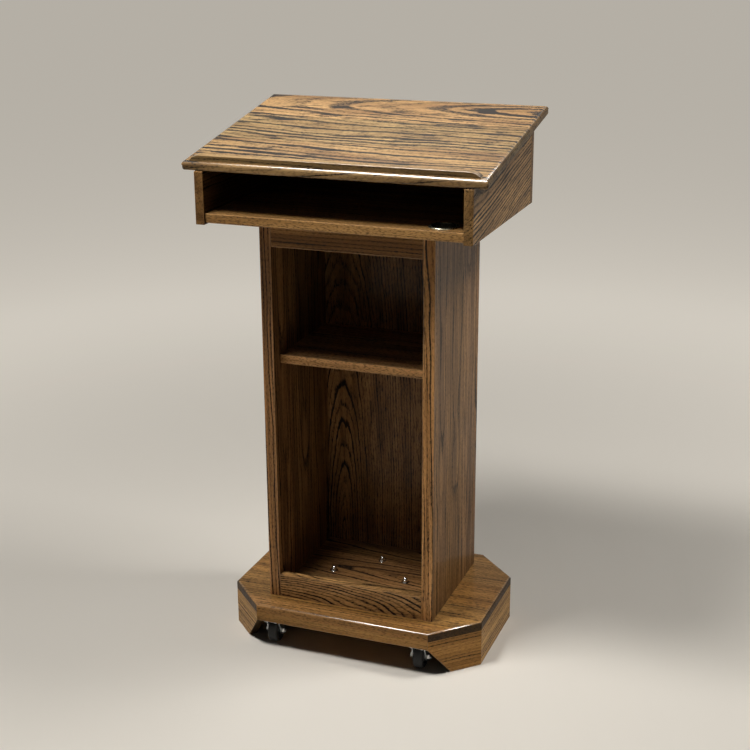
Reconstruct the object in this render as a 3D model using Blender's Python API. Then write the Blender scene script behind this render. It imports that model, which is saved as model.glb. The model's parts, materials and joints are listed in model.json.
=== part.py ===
"""Stained oak lectern: sloped desk over a cubby, open column with one shelf, octagonal tilt-and-roll base.

Metres, +Z up. The reader stands on the -Y side. Y is measured from the middle of the column, and the
whole assembly hangs on one empty that centres its box on the origin, with the skirts on the floor at Z = 0.
"""

import math

import bmesh
import bpy
from mathutils import Matrix, Vector

for old in list(bpy.data.objects):
    bpy.data.objects.remove(old, do_unlink=True)

# Fits shared by every piece
GAP = 0.0003
ARRIS = 0.0012
ARRIS_STEPS = 2
MERGE = 0.000001
OVERRUN = 0.004

# Casters
WHEEL_RADIUS = 0.025
WHEEL_WIDTH = 0.022
FLOOR_CLEARANCE = 0.0015
CROWN_ROOM = 0.006
TYRE_THICK = 0.0072
HUB_RIM = 0.003
HUB_BOSS_WALL = 0.0031
HUB_RECESS = 0.003
TREAD_ROUND = 0.0045
WHEEL_STEPS = 36
BUSH_RADIUS = 0.006
RUNNING_GAP = 0.0004
AXLE_RADIUS = 0.004
AXLE_NUT_WALL = 0.0025
AXLE_NUT_THICK = 0.0055
AXLE_STICK_OUT = 0.002
FORK_SHEET = 0.0025
FORK_SIDE_PLAY = 0.0018
FORK_INNER_BEND = 0.0025
LEG_TOP_WIDTH = 0.036
LEG_END_WALL = 0.0042
PLATE_THICK = 0.0025
PLATE_SIDE = 0.0037
PLATE_TAB = 0.015
PLATE_CORNER = 0.005
PLATE_SCREW_FROM_SIDE = 0.007
PLATE_SCREW_FROM_END = 0.0055
CASTER_CORNER_ROOM = 0.0012
CASTER_FRONT_ROOM = 0.005

# Screws
SCREW_RADIUS = 0.002
SCREW_HEAD_REACH = 0.0016
SCREW_HEAD_THICK = 0.0024
SCREW_BITE = 0.012
SCREW_POINT = 0.003
SCREW_STEPS = 12

# Base
DECK_WIDTH = 0.572
DECK_DEPTH = 0.408
DECK_SHIFT = -0.0015
DECK_THICK = 0.019
DECK_ROUND = 0.005
CORNER_CLIP = 0.090
SKIRT_THICK = 0.019
CASTER_BOARD_THICK = 0.019
CASTER_BOARD_DEPTH = 0.095
RELIEF_RUN = 0.055

# Column
COLUMN_WIDTH = 0.376
COLUMN_DEPTH = 0.303
COLUMN_HEIGHT = 0.841
SIDE_THICK = 0.025
REAR_PANEL_THICK = 0.019
RAIL_THICK = 0.019
TOP_RAIL_HEIGHT = 0.057
APRON_HEIGHT = 0.052
BOTTOM_THICK = 0.019
CAP_THICK = 0.019
SHELF_TOP = 0.546
SHELF_THICK = 0.019
SHELF_SETBACK = 0.0336
HOUSING_DEPTH = 0.006
CAP_SCREW_FROM_SIDE = 0.054
CAP_SCREW_FROM_MIDDLE = 0.080

# Bolts between column and base
BOLT_RADIUS = 0.0032
BOLT_CLEARANCE = 0.0004
BOLT_HEAD_REACH = 0.0023
BOLT_HEAD_THICK = 0.0042
BOLT_SPREAD = 0.085
BOLT_FRONT = -0.0315
BOLT_REAR = 0.0515
WASHER_RIM = 0.0054
WASHER_THICK = 0.0016
CAP_NUT_WALL = 0.00225
CAP_NUT_HEX = 0.0045
CAP_NUT_DOME = 0.0053
NUT_BITE = 0.0055

# Head
HEAD_WIDTH = 0.575
HEAD_OVERHANG = 0.0803
HEAD_REAR_REACH = 0.0276
HEAD_FRONT_HEIGHT = 0.1063
HEAD_SIDE_THICK = 0.019
HEAD_SIDE_DROP = 0.0038
HEAD_REAR_THICK = 0.019
HEAD_SHELF_THICK = 0.019
HEAD_SHELF_SETBACK = 0.0045
GROMMET_FROM_SIDE = 0.0535
GROMMET_FROM_FRONT = 0.0418
GROMMET_BORE = 0.0235
GROMMET_WALL = 0.0016
GROMMET_RIM = 0.0049
GROMMET_LIP = 0.0024
GROMMET_STEPS = 40

# Desk
SLOPE = math.radians(10.18)
DESK_THICK = 0.019
DESK_ROUND = 0.006
DESK_UNDER_ROUND = 0.004
DESK_SIDE_OVERHANG = 0.0265
DESK_FRONT_OVERHANG = 0.0017
DESK_REAR_OVERHANG = 0.009
STOP_END_MARGIN = 0.014
STOP_END_RUN = 0.026
STOP_HEIGHT = 0.011
STOP_THICK = 0.014
STOP_SETBACK = 0.007
STOP_ROUND = 0.002
CLEAT_LENGTH = 0.300
CLEAT_SECTION = 0.019
CLEAT_SETBACK = 0.060

# Levels, from the floor up
axle_z = FLOOR_CLEARANCE + WHEEL_RADIUS
web_under = axle_z + WHEEL_RADIUS + CROWN_ROOM
plate_under = web_under + FORK_SHEET
plate_top = plate_under + PLATE_THICK
caster_board_under = plate_top + GAP
caster_board_top = caster_board_under + CASTER_BOARD_THICK
deck_under = caster_board_top + GAP
deck_top = deck_under + DECK_THICK
column_foot = deck_top + GAP
column_top = deck_top + COLUMN_HEIGHT
bottom_top = column_foot + BOTTOM_THICK
shelf_top = deck_top + SHELF_TOP
head_shelf_under = column_top + GAP
head_shelf_top = head_shelf_under + HEAD_SHELF_THICK
head_bottom = head_shelf_under - HEAD_SIDE_DROP

# Places across and along the lectern
deck_half = DECK_WIDTH / 2
deck_front = DECK_SHIFT - DECK_DEPTH / 2
deck_rear = DECK_SHIFT + DECK_DEPTH / 2
column_half = COLUMN_WIDTH / 2
column_inside = column_half - SIDE_THICK
column_front = -COLUMN_DEPTH / 2
column_rear = COLUMN_DEPTH / 2
side_rear = column_rear - REAR_PANEL_THICK
head_half = HEAD_WIDTH / 2
head_inside = head_half - HEAD_SIDE_THICK
head_front = column_front - HEAD_OVERHANG
head_side_rear = column_rear + HEAD_REAR_REACH
head_rear = head_side_rear + HEAD_REAR_THICK
head_shelf_front = head_front + HEAD_SHELF_SETBACK
grommet_x = head_inside - GROMMET_FROM_SIDE
grommet_y = head_shelf_front + GROMMET_FROM_FRONT
desk_half = head_half + DESK_SIDE_OVERHANG
desk_run = DESK_FRONT_OVERHANG + head_rear - head_front + DESK_REAR_OVERHANG
desk_foot = (DESK_THICK * math.sin(SLOPE) - DESK_FRONT_OVERHANG) / math.cos(SLOPE)
desk_head = desk_foot + desk_run / math.cos(SLOPE)

# The skirts turn 45 degrees at each corner of the octagon, so each mitre is half of that
MITRE = math.radians(22.5)
mitre_run = SKIRT_THICK * math.tan(MITRE)
skirt_trim = GAP / 2 / math.cos(MITRE)
corner_x = deck_half - CORNER_CLIP
fork_inside = WHEEL_WIDTH / 2 + FORK_SIDE_PLAY
fork_outside = fork_inside + FORK_SHEET
plate_half_width = fork_outside + PLATE_SIDE
plate_half_length = LEG_TOP_WIDTH / 2 + PLATE_TAB
plate_screw_x = plate_half_width - PLATE_SCREW_FROM_SIDE
plate_screw_y = plate_half_length - PLATE_SCREW_FROM_END
caster_x = corner_x - mitre_run - plate_half_width - CASTER_CORNER_ROOM
caster_y = deck_front + CASTER_FRONT_ROOM + plate_half_length

# The rounded desk edges are the frontmost and rearmost points of the lectern
round_saving = math.cos(SLOPE) + math.sin(SLOPE) - 1
front_limit = head_front - DESK_FRONT_OVERHANG + DESK_ROUND * round_saving
desk_rear_corner = head_front + desk_head * math.cos(SLOPE)
rear_limit = desk_rear_corner - DESK_UNDER_ROUND * round_saving
centring = -(front_limit + rear_limit) / 2


def linear(channel):
    """One sRGB channel, 0 to 1, as linear light."""
    return channel / 12.92 if channel <= 0.04045 else ((channel + 0.055) / 1.055) ** 2.4


def finish(name, colour, roughness, metallic=0.0):
    material = bpy.data.materials.new(name)
    material.use_nodes = True
    shader = material.node_tree.nodes["Principled BSDF"]
    channels = [int(colour[i : i + 2], 16) / 255 for i in (1, 3, 5)]
    shader.inputs["Base Color"].default_value = (*map(linear, channels), 1.0)
    shader.inputs["Roughness"].default_value = roughness
    shader.inputs["Metallic"].default_value = metallic
    return material


DESK_OAK = finish("desk_oak", "#8a6238", 0.38)
BODY_OAK = finish("body_oak", "#6b482b", 0.42)
BASE_OAK = finish("base_oak", "#755032", 0.42)
CHROME = finish("bright_chrome", "#d8d8d6", 0.12, 1.0)
ZINC = finish("bright_zinc", "#b9bbbc", 0.32, 1.0)
HUB_PLASTIC = finish("black_nylon", "#1f1f20", 0.5)
RUBBER = finish("black_rubber", "#161617", 0.62)


def empty(name, place, turn=(0.0, 0.0, 0.0), parent=None):
    holder = bpy.data.objects.new(name, None)
    holder.location = place
    holder.rotation_euler = turn
    holder.parent = parent
    bpy.context.collection.objects.link(holder)
    return holder


lectern = empty("lectern", (0.0, centring, 0.0))
desk_plane = empty(
    "desk_plane",
    (0.0, head_front, head_bottom + HEAD_FRONT_HEIGHT + GAP / math.cos(SLOPE)),
    (SLOPE, 0.0, 0.0),
    lectern,
)


def place(name, shape, material, at=(0.0, 0.0, 0.0), parent=lectern):
    """The finished bmesh as a named object."""
    mesh = bpy.data.meshes.new(name)
    shape.to_mesh(mesh)
    shape.free()
    mesh.materials.append(material)
    piece = bpy.data.objects.new(name, mesh)
    piece.location = at
    piece.parent = parent
    bpy.context.collection.objects.link(piece)
    return piece


def smooth(piece):
    piece.data.shade_smooth()
    piece.data.set_sharp_from_angle(angle=math.radians(35))
    return piece


def ease(piece, width=ARRIS):
    """The sanded arris that every board has."""
    bevel = piece.modifiers.new("arris", "BEVEL")
    bevel.limit_method = "ANGLE"
    bevel.angle_limit = math.radians(20)
    bevel.width = width
    bevel.segments = ARRIS_STEPS
    return piece


def ease_foot(shape, along):
    """The arris on a skirt's lower edges only, because its other edges are glued flush."""
    edges = []
    for edge in shape.edges:
        lower = [face for face in edge.link_faces if face.normal.z < -0.1]
        upright = [face for face in edge.link_faces if abs(face.normal.z) < 0.1]
        if len(lower) == 1 and len(upright) == 1 and abs(upright[0].normal.dot(along)) < 0.1:
            edges.append(edge)
    bmesh.ops.bevel(shape, geom=edges, offset=ARRIS, segments=ARRIS_STEPS, profile=0.5, affect="EDGES")
    return shape


def combine(piece, tool, operation):
    """Fuses, cuts or trims a piece with a tool that is itself left out."""
    tool.hide_render = True
    tool.display_type = "WIRE"
    step = piece.modifiers.new(tool.name, "BOOLEAN")
    step.operation = operation
    step.solver = "EXACT"
    step.object = tool
    return piece


def box(low, high):
    """A box about its own centre, and that centre."""
    size = Vector(high) - Vector(low)
    shape = bmesh.new()
    bmesh.ops.create_cube(shape, size=1.0)
    bmesh.ops.scale(shape, vec=size, verts=shape.verts)
    return shape, (Vector(high) + Vector(low)) / 2


def prism(outline, axis, low, high):
    """An outline of (u, v) points drawn across one axis and extruded along it."""

    def point(u, v, w):
        return {"X": (w, u, v), "Y": (u, w, v), "Z": (u, v, w)}[axis]

    shape = bmesh.new()
    face = shape.faces.new([shape.verts.new(point(u, v, low)) for u, v in outline])
    grown = bmesh.ops.extrude_face_region(shape, geom=[face])
    moved = [item for item in grown["geom"] if isinstance(item, bmesh.types.BMVert)]
    bmesh.ops.translate(shape, verts=moved, vec=Vector(point(0.0, 0.0, high - low)))
    bmesh.ops.recalc_face_normals(shape, faces=shape.faces)
    return shape


def turned(profile, steps, axis="Z"):
    """A profile of (radius, height) points spun about an axis; one that starts off the axis makes a ring."""
    shape = bmesh.new()
    points = [shape.verts.new((radius, 0.0, height)) for radius, height in profile]
    edges = [shape.edges.new(pair) for pair in zip(points, points[1:])]
    if profile[0][0] > 0:
        edges.append(shape.edges.new((points[-1], points[0])))
    bmesh.ops.spin(
        shape, geom=points + edges, cent=(0, 0, 0), axis=(0, 0, 1), angle=math.tau, steps=steps
    )
    bmesh.ops.remove_doubles(shape, verts=shape.verts, dist=MERGE)
    bmesh.ops.recalc_face_normals(shape, faces=shape.faces)
    if axis == "X":
        bmesh.ops.rotate(shape, verts=shape.verts, matrix=Matrix.Rotation(math.pi / 2, 3, "Y"))
    return shape


def arc(centre, radius, start, end, steps):
    """Points round an arc, angles in degrees."""
    angles = [math.radians(start + (end - start) * step / steps) for step in range(steps + 1)]
    return [(centre[0] + radius * math.cos(a), centre[1] + radius * math.sin(a)) for a in angles]


def hexagon(flats):
    return arc((0.0, 0.0), flats / 2 / math.cos(math.pi / 6), 0, 300, 5)


def rod(name, radius, low, high, at, axis="Z", parent=lectern, steps=20):
    """A plain round tool for holes and shanks."""
    profile = [(0.0, high), (radius, high), (radius, low), (0.0, low)]
    return place(name, turned(profile, steps, axis), ZINC, at, parent)


def drill(piece, radius, low, high, at, axis="Z", parent=lectern, steps=20):
    hole = rod(f"{piece.name}_hole", radius, low, high, at, axis, parent, steps)
    return combine(piece, hole, "DIFFERENCE")


def screw_hole(piece, low, high, at, parent=lectern):
    return drill(piece, SCREW_RADIUS + GAP, low, high, at, "Z", parent, SCREW_STEPS)


def board(name, low, high, material):
    shape, middle = box(low, high)
    return ease(place(name, shape, material, middle))


# Base: octagonal deck on mitred skirts
def deck_corners():
    """The octagon's corners, counter-clockwise from the right end of the front edge."""
    clip_front = deck_front + CORNER_CLIP
    clip_rear = deck_rear - CORNER_CLIP
    right = [(corner_x, deck_front), (deck_half, clip_front), (deck_half, clip_rear), (corner_x, deck_rear)]
    return right + [(-x, y) for x, y in reversed(right)]


def base_deck():
    shape = prism(deck_corners(), "Z", deck_under, deck_top)
    rim = [edge for edge in shape.edges if all(abs(v.co.z - deck_top) < MERGE for v in edge.verts)]
    bmesh.ops.bevel(shape, geom=rim, offset=DECK_ROUND, segments=4, profile=0.5, affect="EDGES")
    return place("base_deck", shape, BASE_OAK)


def skirt_outline(start, end):
    """The footprint of one skirt, mitred at both ends, between two corners of the octagon."""
    along = (Vector(end) - Vector(start)).normalized()
    inward = Vector((-along.y, along.x)) * SKIRT_THICK
    mitre = along * mitre_run
    low = Vector(start) + along * skirt_trim
    high = Vector(end) - along * skirt_trim
    return [tuple(point) for point in (low, high, high - mitre + inward, low + mitre + inward)]


def relieve(shape, corner, away):
    """Cuts the diagonal that lets the lectern tip: from the caster board's underside down to the floor."""
    normal = away * -caster_board_under - Vector((0.0, 0.0, RELIEF_RUN))
    cut = bmesh.ops.bisect_plane(
        shape,
        geom=shape.verts[:] + shape.edges[:] + shape.faces[:],
        plane_co=(*corner, caster_board_under),
        plane_no=normal,
        clear_outer=True,
    )
    rim = [item for item in cut["geom_cut"] if isinstance(item, bmesh.types.BMEdge)]
    bmesh.ops.edgeloop_fill(shape, edges=rim)
    bmesh.ops.recalc_face_normals(shape, faces=shape.faces)


def skirts():
    names = ["corner_front_right", "skirt_right", "corner_rear_right", "skirt_rear"]
    names += ["corner_rear_left", "skirt_left", "corner_front_left"]
    corners = deck_corners()
    for name, start, end in zip(names, corners, corners[1:]):
        shape = prism(skirt_outline(start, end), "Z", 0.0, deck_under - GAP)
        if name.startswith("corner_front"):
            front, side = (start, end) if name.endswith("right") else (end, start)
            relieve(shape, front, (Vector(side) - Vector(front)).normalized().to_3d())
        along = (Vector(end) - Vector(start)).normalized().to_3d()
        place(name, ease_foot(shape, along), BASE_OAK)


def caster_board():
    """Flat board behind the deck's front edge, its front corners mitred to the corner skirts."""
    edge = corner_x - GAP * math.sqrt(2)
    inner = edge - mitre_run
    right = [(edge, deck_front), (inner, deck_front + SKIRT_THICK), (inner, deck_front + CASTER_BOARD_DEPTH)]
    outline = right + [(-x, y) for x, y in reversed(right)]
    shape = prism(outline, "Z", caster_board_under, caster_board_top)
    return place("caster_board", ease_foot(shape, Vector((1.0, 0.0, 0.0))), BASE_OAK)


# Casters: bent fork on a plate, fixed axle, wheel turning on a bush
def screw(name, grip, at, parent, material=ZINC):
    """A pan-head screw driven upwards; its head's seat is at the local origin."""
    tip = grip + SCREW_BITE
    head = arc((0.0, -SCREW_HEAD_THICK / 2), SCREW_HEAD_THICK / 2, 270, 360, 3)
    edge = SCREW_RADIUS + SCREW_HEAD_REACH
    flat = edge - SCREW_HEAD_THICK / 2
    profile = [(0.0, tip), (SCREW_RADIUS, tip - SCREW_POINT), (SCREW_RADIUS, 0.0), (edge, 0.0)]
    profile += [(flat + x, z) for x, z in reversed(head)]
    profile += [(0.0, -SCREW_HEAD_THICK)]
    return smooth(place(name, turned(profile, SCREW_STEPS), material, at, parent))


def plate_holes():
    return [(x, y) for x in (-plate_screw_x, plate_screw_x) for y in (-plate_screw_y, plate_screw_y)]


def fork(side, hub):
    """A strap bent to a U and trimmed to tapered legs, welded under a plate."""
    crown = plate_under - axle_z
    leg_end = AXLE_RADIUS + GAP + LEG_END_WALL
    foot = -leg_end - OVERRUN
    bend = FORK_INNER_BEND + FORK_SHEET
    centre = (fork_outside - bend, crown - bend)
    outer = [(fork_outside, foot)] + arc(centre, bend, 0, 90, 4)
    inner = arc(centre, FORK_INNER_BEND, 90, 0, 4) + [(fork_inside, foot)]
    strap = outer + [(-x, z) for x, z in reversed(outer)]
    strap += [(-x, z) for x, z in reversed(inner)] + inner
    half = LEG_TOP_WIDTH / 2
    piece = place(f"caster_fork_{side}", prism(strap, "Y", -half, half), ZINC, parent=hub)
    lean = math.degrees(math.atan2(half - leg_end, crown - bend))
    leg = [(half, crown + OVERRUN), (half, crown - bend)]
    leg += arc((0.0, 0.0), leg_end, -lean, lean - 180, 8)
    leg += [(-half, crown - bend), (-half, crown + OVERRUN)]
    reach = fork_outside + OVERRUN
    combine(piece, place(f"leg_trim_{side}", prism(leg, "X", -reach, reach), ZINC, parent=hub), "INTERSECT")
    plate_corner = (plate_half_width, plate_half_length, PLATE_THICK)
    plate, middle = box((-plate_half_width, -plate_half_length, 0.0), plate_corner)
    uprights = [edge for edge in plate.edges if abs(edge.verts[0].co.z - edge.verts[1].co.z) > MERGE]
    bmesh.ops.bevel(plate, geom=uprights, offset=PLATE_CORNER, segments=4, profile=0.5, affect="EDGES")
    seat = (0.0, 0.0, crown + middle.z)
    combine(piece, place(f"plate_blank_{side}", plate, ZINC, seat, hub), "UNION")
    drill(piece, AXLE_RADIUS + GAP, -reach, reach, (0.0, 0.0, 0.0), "X", hub)
    for x, y in plate_holes():
        screw_hole(piece, -OVERRUN, PLATE_THICK + OVERRUN, (x, y, crown), hub)
    return piece


def wheel(side, hub):
    """Nylon hub with a recessed web on both faces, and the rubber tyre that is moulded round it."""
    half = WHEEL_WIDTH / 2
    bore = BUSH_RADIUS + RUNNING_GAP
    web = half - HUB_RECESS
    rim = WHEEL_RADIUS - TYRE_THICK - GAP
    boss = bore + HUB_BOSS_WALL
    face = [(rim, half), (rim - HUB_RIM, half), (rim - HUB_RIM, web), (boss, web), (boss, half), (bore, half)]
    profile = face[::-1] + [(r, -x) for r, x in face]
    smooth(place(f"wheel_hub_{side}", turned(profile, WHEEL_STEPS, "X"), HUB_PLASTIC, parent=hub))
    inside = WHEEL_RADIUS - TYRE_THICK
    shoulder = (WHEEL_RADIUS - TREAD_ROUND, half - TREAD_ROUND)
    crown = arc(shoulder, TREAD_ROUND, 90, 0, 4)
    profile = [(inside, half)] + crown + [(r, -x) for r, x in reversed(crown)] + [(inside, -half)]
    smooth(place(f"wheel_tyre_{side}", turned(profile, WHEEL_STEPS, "X"), RUBBER, parent=hub))


def axle(side, hub):
    """A bolt through the fork with a bush between its legs and a nut on its right-hand end."""
    seat = fork_outside + GAP
    flats = 2 * (AXLE_RADIUS + AXLE_NUT_WALL)
    head = prism(hexagon(flats), "X", -seat - AXLE_NUT_THICK, -seat)
    bolt = place(f"caster_axle_{side}", head, ZINC, parent=hub)
    end = seat + AXLE_NUT_THICK + AXLE_STICK_OUT
    shank_start = -seat - AXLE_NUT_THICK / 2
    shank = rod(f"axle_shank_{side}", AXLE_RADIUS, shank_start, end, (0.0, 0.0, 0.0), "X", hub)
    combine(bolt, shank, "UNION")
    body = prism(hexagon(flats), "X", seat, seat + AXLE_NUT_THICK)
    nut = place(f"caster_nut_{side}", body, CHROME, parent=hub)
    drill(nut, AXLE_RADIUS + GAP, 0.0, end, (0.0, 0.0, 0.0), "X", hub)
    length = fork_inside - GAP
    bore = AXLE_RADIUS + GAP
    ring = [(bore, length), (BUSH_RADIUS, length), (BUSH_RADIUS, -length), (bore, -length)]
    smooth(place(f"caster_bush_{side}", turned(ring, 24, "X"), ZINC, parent=hub))


def caster(side, x, carrier):
    hub = empty(f"caster_{side}", (x, caster_y, axle_z), parent=lectern)
    fork(side, hub)
    axle(side, hub)
    wheel(side, hub)
    grip = PLATE_THICK + 2 * GAP
    for count, (dx, dy) in enumerate(plate_holes(), 1):
        screw(f"plate_screw_{side}_{count}", grip, (dx, dy, plate_under - GAP - axle_z), hub)
        at = (x + dx, caster_y + dy, caster_board_under)
        screw_hole(carrier, -OVERRUN, SCREW_BITE + OVERRUN / 2, at)


# Column: sides housed for the shelf, rear panel over their edges, rails across the open front
def column_side(name, sign):
    inner, outer = sorted((sign * column_inside, sign * column_half))
    piece = board(name, (inner, column_front, column_foot), (outer, side_rear, column_top), BODY_OAK)
    near, far = sorted((sign * (column_inside - OVERRUN), sign * (column_inside + HOUSING_DEPTH + GAP)))
    low = (near, column_front + SHELF_SETBACK - GAP, shelf_top - SHELF_THICK - GAP)
    shape, middle = box(low, (far, side_rear + OVERRUN, shelf_top + GAP))
    return combine(piece, place(f"{name}_housing", shape, BODY_OAK, middle), "DIFFERENCE")


def column():
    column_side("column_side_left", -1)
    column_side("column_side_right", 1)
    between = column_inside - GAP
    behind = column_front + RAIL_THICK + GAP
    rail_rear = column_front + RAIL_THICK
    board(
        "column_rear_panel",
        (-column_half, side_rear + GAP, column_foot),
        (column_half, column_rear, column_top),
        BODY_OAK,
    )
    board(
        "column_top_rail",
        (-between, column_front, column_top - TOP_RAIL_HEIGHT),
        (between, rail_rear, column_top),
        BODY_OAK,
    )
    apron_corner = (between, rail_rear, deck_top + APRON_HEIGHT)
    board("column_apron", (-between, column_front, column_foot), apron_corner, BODY_OAK)
    housed = column_inside + HOUSING_DEPTH
    board(
        "column_shelf",
        (-housed, column_front + SHELF_SETBACK, shelf_top - SHELF_THICK),
        (housed, side_rear, shelf_top),
        BODY_OAK,
    )
    bottom_corner = (between, side_rear, bottom_top)
    bottom = board("column_bottom", (-between, behind, column_foot), bottom_corner, BODY_OAK)
    cap_corner = (between, side_rear, column_top)
    cap = board("column_cap", (-between, behind, column_top - CAP_THICK), cap_corner, BODY_OAK)
    return bottom, cap


def cap_screws(cap, shelf):
    """Screws up through the column's cap, holding the head down on it."""
    under = column_top - CAP_THICK
    grip = CAP_THICK + 2 * GAP
    across = column_inside - CAP_SCREW_FROM_SIDE
    along = CAP_SCREW_FROM_MIDDLE
    places = [(x, y) for x in (-across, across) for y in (-along, along)]
    for count, (x, y) in enumerate(places, 1):
        screw(f"cap_screw_{count}", grip, (x, y, under - GAP), lectern)
        screw_hole(cap, -OVERRUN, CAP_THICK + OVERRUN, (x, y, under))
        screw_hole(shelf, -OVERRUN, SCREW_BITE + OVERRUN / 2, (x, y, head_shelf_under))


def column_bolts(deck, bottom):
    """Bolts up through deck and column bottom, with washers and domed nuts that show inside the column."""
    places = [(-BOLT_SPREAD, BOLT_FRONT), (BOLT_SPREAD, BOLT_FRONT), (0.0, BOLT_REAR)]
    washer_under = bottom_top + GAP
    nut_under = washer_under + WASHER_THICK + GAP
    head_top = deck_under - GAP
    hole = BOLT_RADIUS + BOLT_CLEARANCE
    dome_radius = BOLT_RADIUS + GAP + CAP_NUT_WALL
    washer = hole + WASHER_RIM
    for count, (x, y) in enumerate(places, 1):
        drill(deck, hole, deck_under - OVERRUN, deck_top + OVERRUN, (x, y, 0.0))
        drill(bottom, hole, column_foot - OVERRUN, bottom_top + OVERRUN, (x, y, 0.0))
        head_flats = 2 * (BOLT_RADIUS + BOLT_HEAD_REACH)
        head = prism(hexagon(head_flats), "Z", head_top - BOLT_HEAD_THICK, head_top)
        bolt = place(f"column_bolt_{count}", head, ZINC, (x, y, 0.0))
        shank_low = head_top - BOLT_HEAD_THICK / 2
        shank = rod(f"bolt_shank_{count}", BOLT_RADIUS, shank_low, nut_under + NUT_BITE, (x, y, 0.0))
        combine(bolt, shank, "UNION")
        ring = [(hole, WASHER_THICK), (washer, WASHER_THICK), (washer, 0.0), (hole, 0.0)]
        smooth(place(f"bolt_washer_{count}", turned(ring, 28), CHROME, (x, y, washer_under)))
        hexed = prism(hexagon(2 * dome_radius), "Z", 0.0, CAP_NUT_HEX)
        nut = place(f"cap_nut_{count}", hexed, CHROME, (x, y, nut_under))
        rise = CAP_NUT_DOME / dome_radius
        curve = [(r, CAP_NUT_HEX + z * rise) for r, z in arc((0.0, 0.0), dome_radius, 90, 0, 6)]
        root = CAP_NUT_HEX / 2
        dome = [(0.0, CAP_NUT_HEX + CAP_NUT_DOME)] + curve[1:] + [(dome_radius, root), (0.0, root)]
        combine(nut, place(f"nut_dome_{count}", turned(dome, 24), CHROME, (x, y, nut_under)), "UNION")
        drill(nut, BOLT_RADIUS + GAP, -OVERRUN, NUT_BITE + GAP, (x, y, nut_under))
        smooth(nut)


# Head: cubby with its sides cut to the desk's slope
def under_desk(y):
    """Height of the head's sloping top at a distance along the lectern."""
    return head_bottom + HEAD_FRONT_HEIGHT + (y - head_front) * math.tan(SLOPE)


def head_outline(near, far):
    """A head panel seen from the side, between two distances along the lectern."""
    return [(near, head_bottom), (far, head_bottom), (far, under_desk(far)), (near, under_desk(near))]


def head():
    for name, sign in (("head_side_left", -1), ("head_side_right", 1)):
        low, high = sorted((sign * head_inside, sign * head_half))
        ease(place(name, prism(head_outline(head_front, head_side_rear), "X", low, high), BODY_OAK))
    rear_panel = prism(head_outline(head_side_rear + GAP, head_rear), "X", -head_half, head_half)
    ease(place("head_rear_panel", rear_panel, BODY_OAK))
    between = head_inside - GAP
    shelf = board(
        "head_shelf",
        (-between, head_shelf_front, head_shelf_under),
        (between, head_side_rear, head_shelf_top),
        BODY_OAK,
    )
    sleeve = GROMMET_BORE + GROMMET_WALL
    middle = (grommet_x, grommet_y, head_shelf_under)
    drill(shelf, sleeve + GAP, -OVERRUN, HEAD_SHELF_THICK + OVERRUN, middle, steps=GROMMET_STEPS)
    return shelf


def cable_grommet():
    """Metal sleeve with a rolled flange that rests on the shelf round the cable hole."""
    sleeve = GROMMET_BORE + GROMMET_WALL
    seat = HEAD_SHELF_THICK + GAP
    lip = GROMMET_LIP
    roll = arc((sleeve + GROMMET_RIM - lip, seat), lip, 90, 0, 4)
    profile = [(GROMMET_BORE + lip / 2, seat + lip)] + roll
    profile += [(sleeve, seat), (sleeve, 0.0), (GROMMET_BORE, 0.0), (GROMMET_BORE, seat + lip / 2)]
    middle = (grommet_x, grommet_y, head_shelf_under)
    return smooth(place("cable_grommet", turned(profile, GROMMET_STEPS), CHROME, middle))


# Desk: sloped board, book stop and cleats, all on the desk plane
def desk():
    shape, middle = box((-desk_half, desk_foot, 0.0), (desk_half, desk_head, DESK_THICK))
    rim = [edge for edge in shape.edges if all(v.co.z > 0 for v in edge.verts)]
    bmesh.ops.bevel(shape, geom=rim, offset=DESK_ROUND, segments=5, profile=0.5, affect="EDGES")
    ease(place("desk_top", shape, DESK_OAK, middle, desk_plane), DESK_UNDER_ROUND)
    half = desk_half - STOP_END_MARGIN
    seat = DESK_THICK + GAP
    top = seat + STOP_HEIGHT
    bend = (STOP_END_RUN**2 + STOP_HEIGHT**2) / (2 * STOP_HEIGHT)
    foot_angle = math.degrees(math.acos(STOP_END_RUN / bend))
    end = arc((half - STOP_END_RUN, top - bend), bend, foot_angle, 90, 6)
    outline = end + [(-x, z) for x, z in reversed(end)]
    front = desk_foot + STOP_SETBACK
    shape = prism(outline, "Y", front, front + STOP_THICK)
    flat = [edge for edge in shape.edges if abs(edge.verts[0].co.y - edge.verts[1].co.y) < MERGE]
    rim = [edge for edge in flat if edge.calc_length() < 2 * half - MERGE]
    bmesh.ops.bevel(shape, geom=rim, offset=STOP_ROUND, segments=3, profile=0.5, affect="EDGES")
    place("book_stop", shape, DESK_OAK, parent=desk_plane)
    for name, sign in (("desk_cleat_left", -1), ("desk_cleat_right", 1)):
        outer = head_inside - GAP
        left, right = sorted((sign * (outer - CLEAT_SECTION), sign * outer))
        start = desk_foot + CLEAT_SETBACK
        shape, middle = box((left, start, -GAP - CLEAT_SECTION), (right, start + CLEAT_LENGTH, -GAP))
        ease(place(name, shape, BODY_OAK, middle, desk_plane))


deck = base_deck()
skirts()
carrier = caster_board()
caster("left", -caster_x, carrier)
caster("right", caster_x, carrier)
bottom, cap = column()
column_bolts(deck, bottom)
cap_screws(cap, head())
cable_grommet()
desk()
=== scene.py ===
# %% [markdown]
# # An oak lectern, dressed for its picture
# The solids of the lectern arrive as a fixed frame: every board, bolt and wheel is already in its place.
# This lesson gives them their looks. First come the camera, the floor and the light, because a finish
# can only be judged under them. Then comes the oak, which is nearly all that shows, then the boards whose
# edges were shaped with care, and last the small hardware.

# %% Load the frame
import json
import math

import bmesh
import bpy
from mathutils import Matrix, Vector

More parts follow.
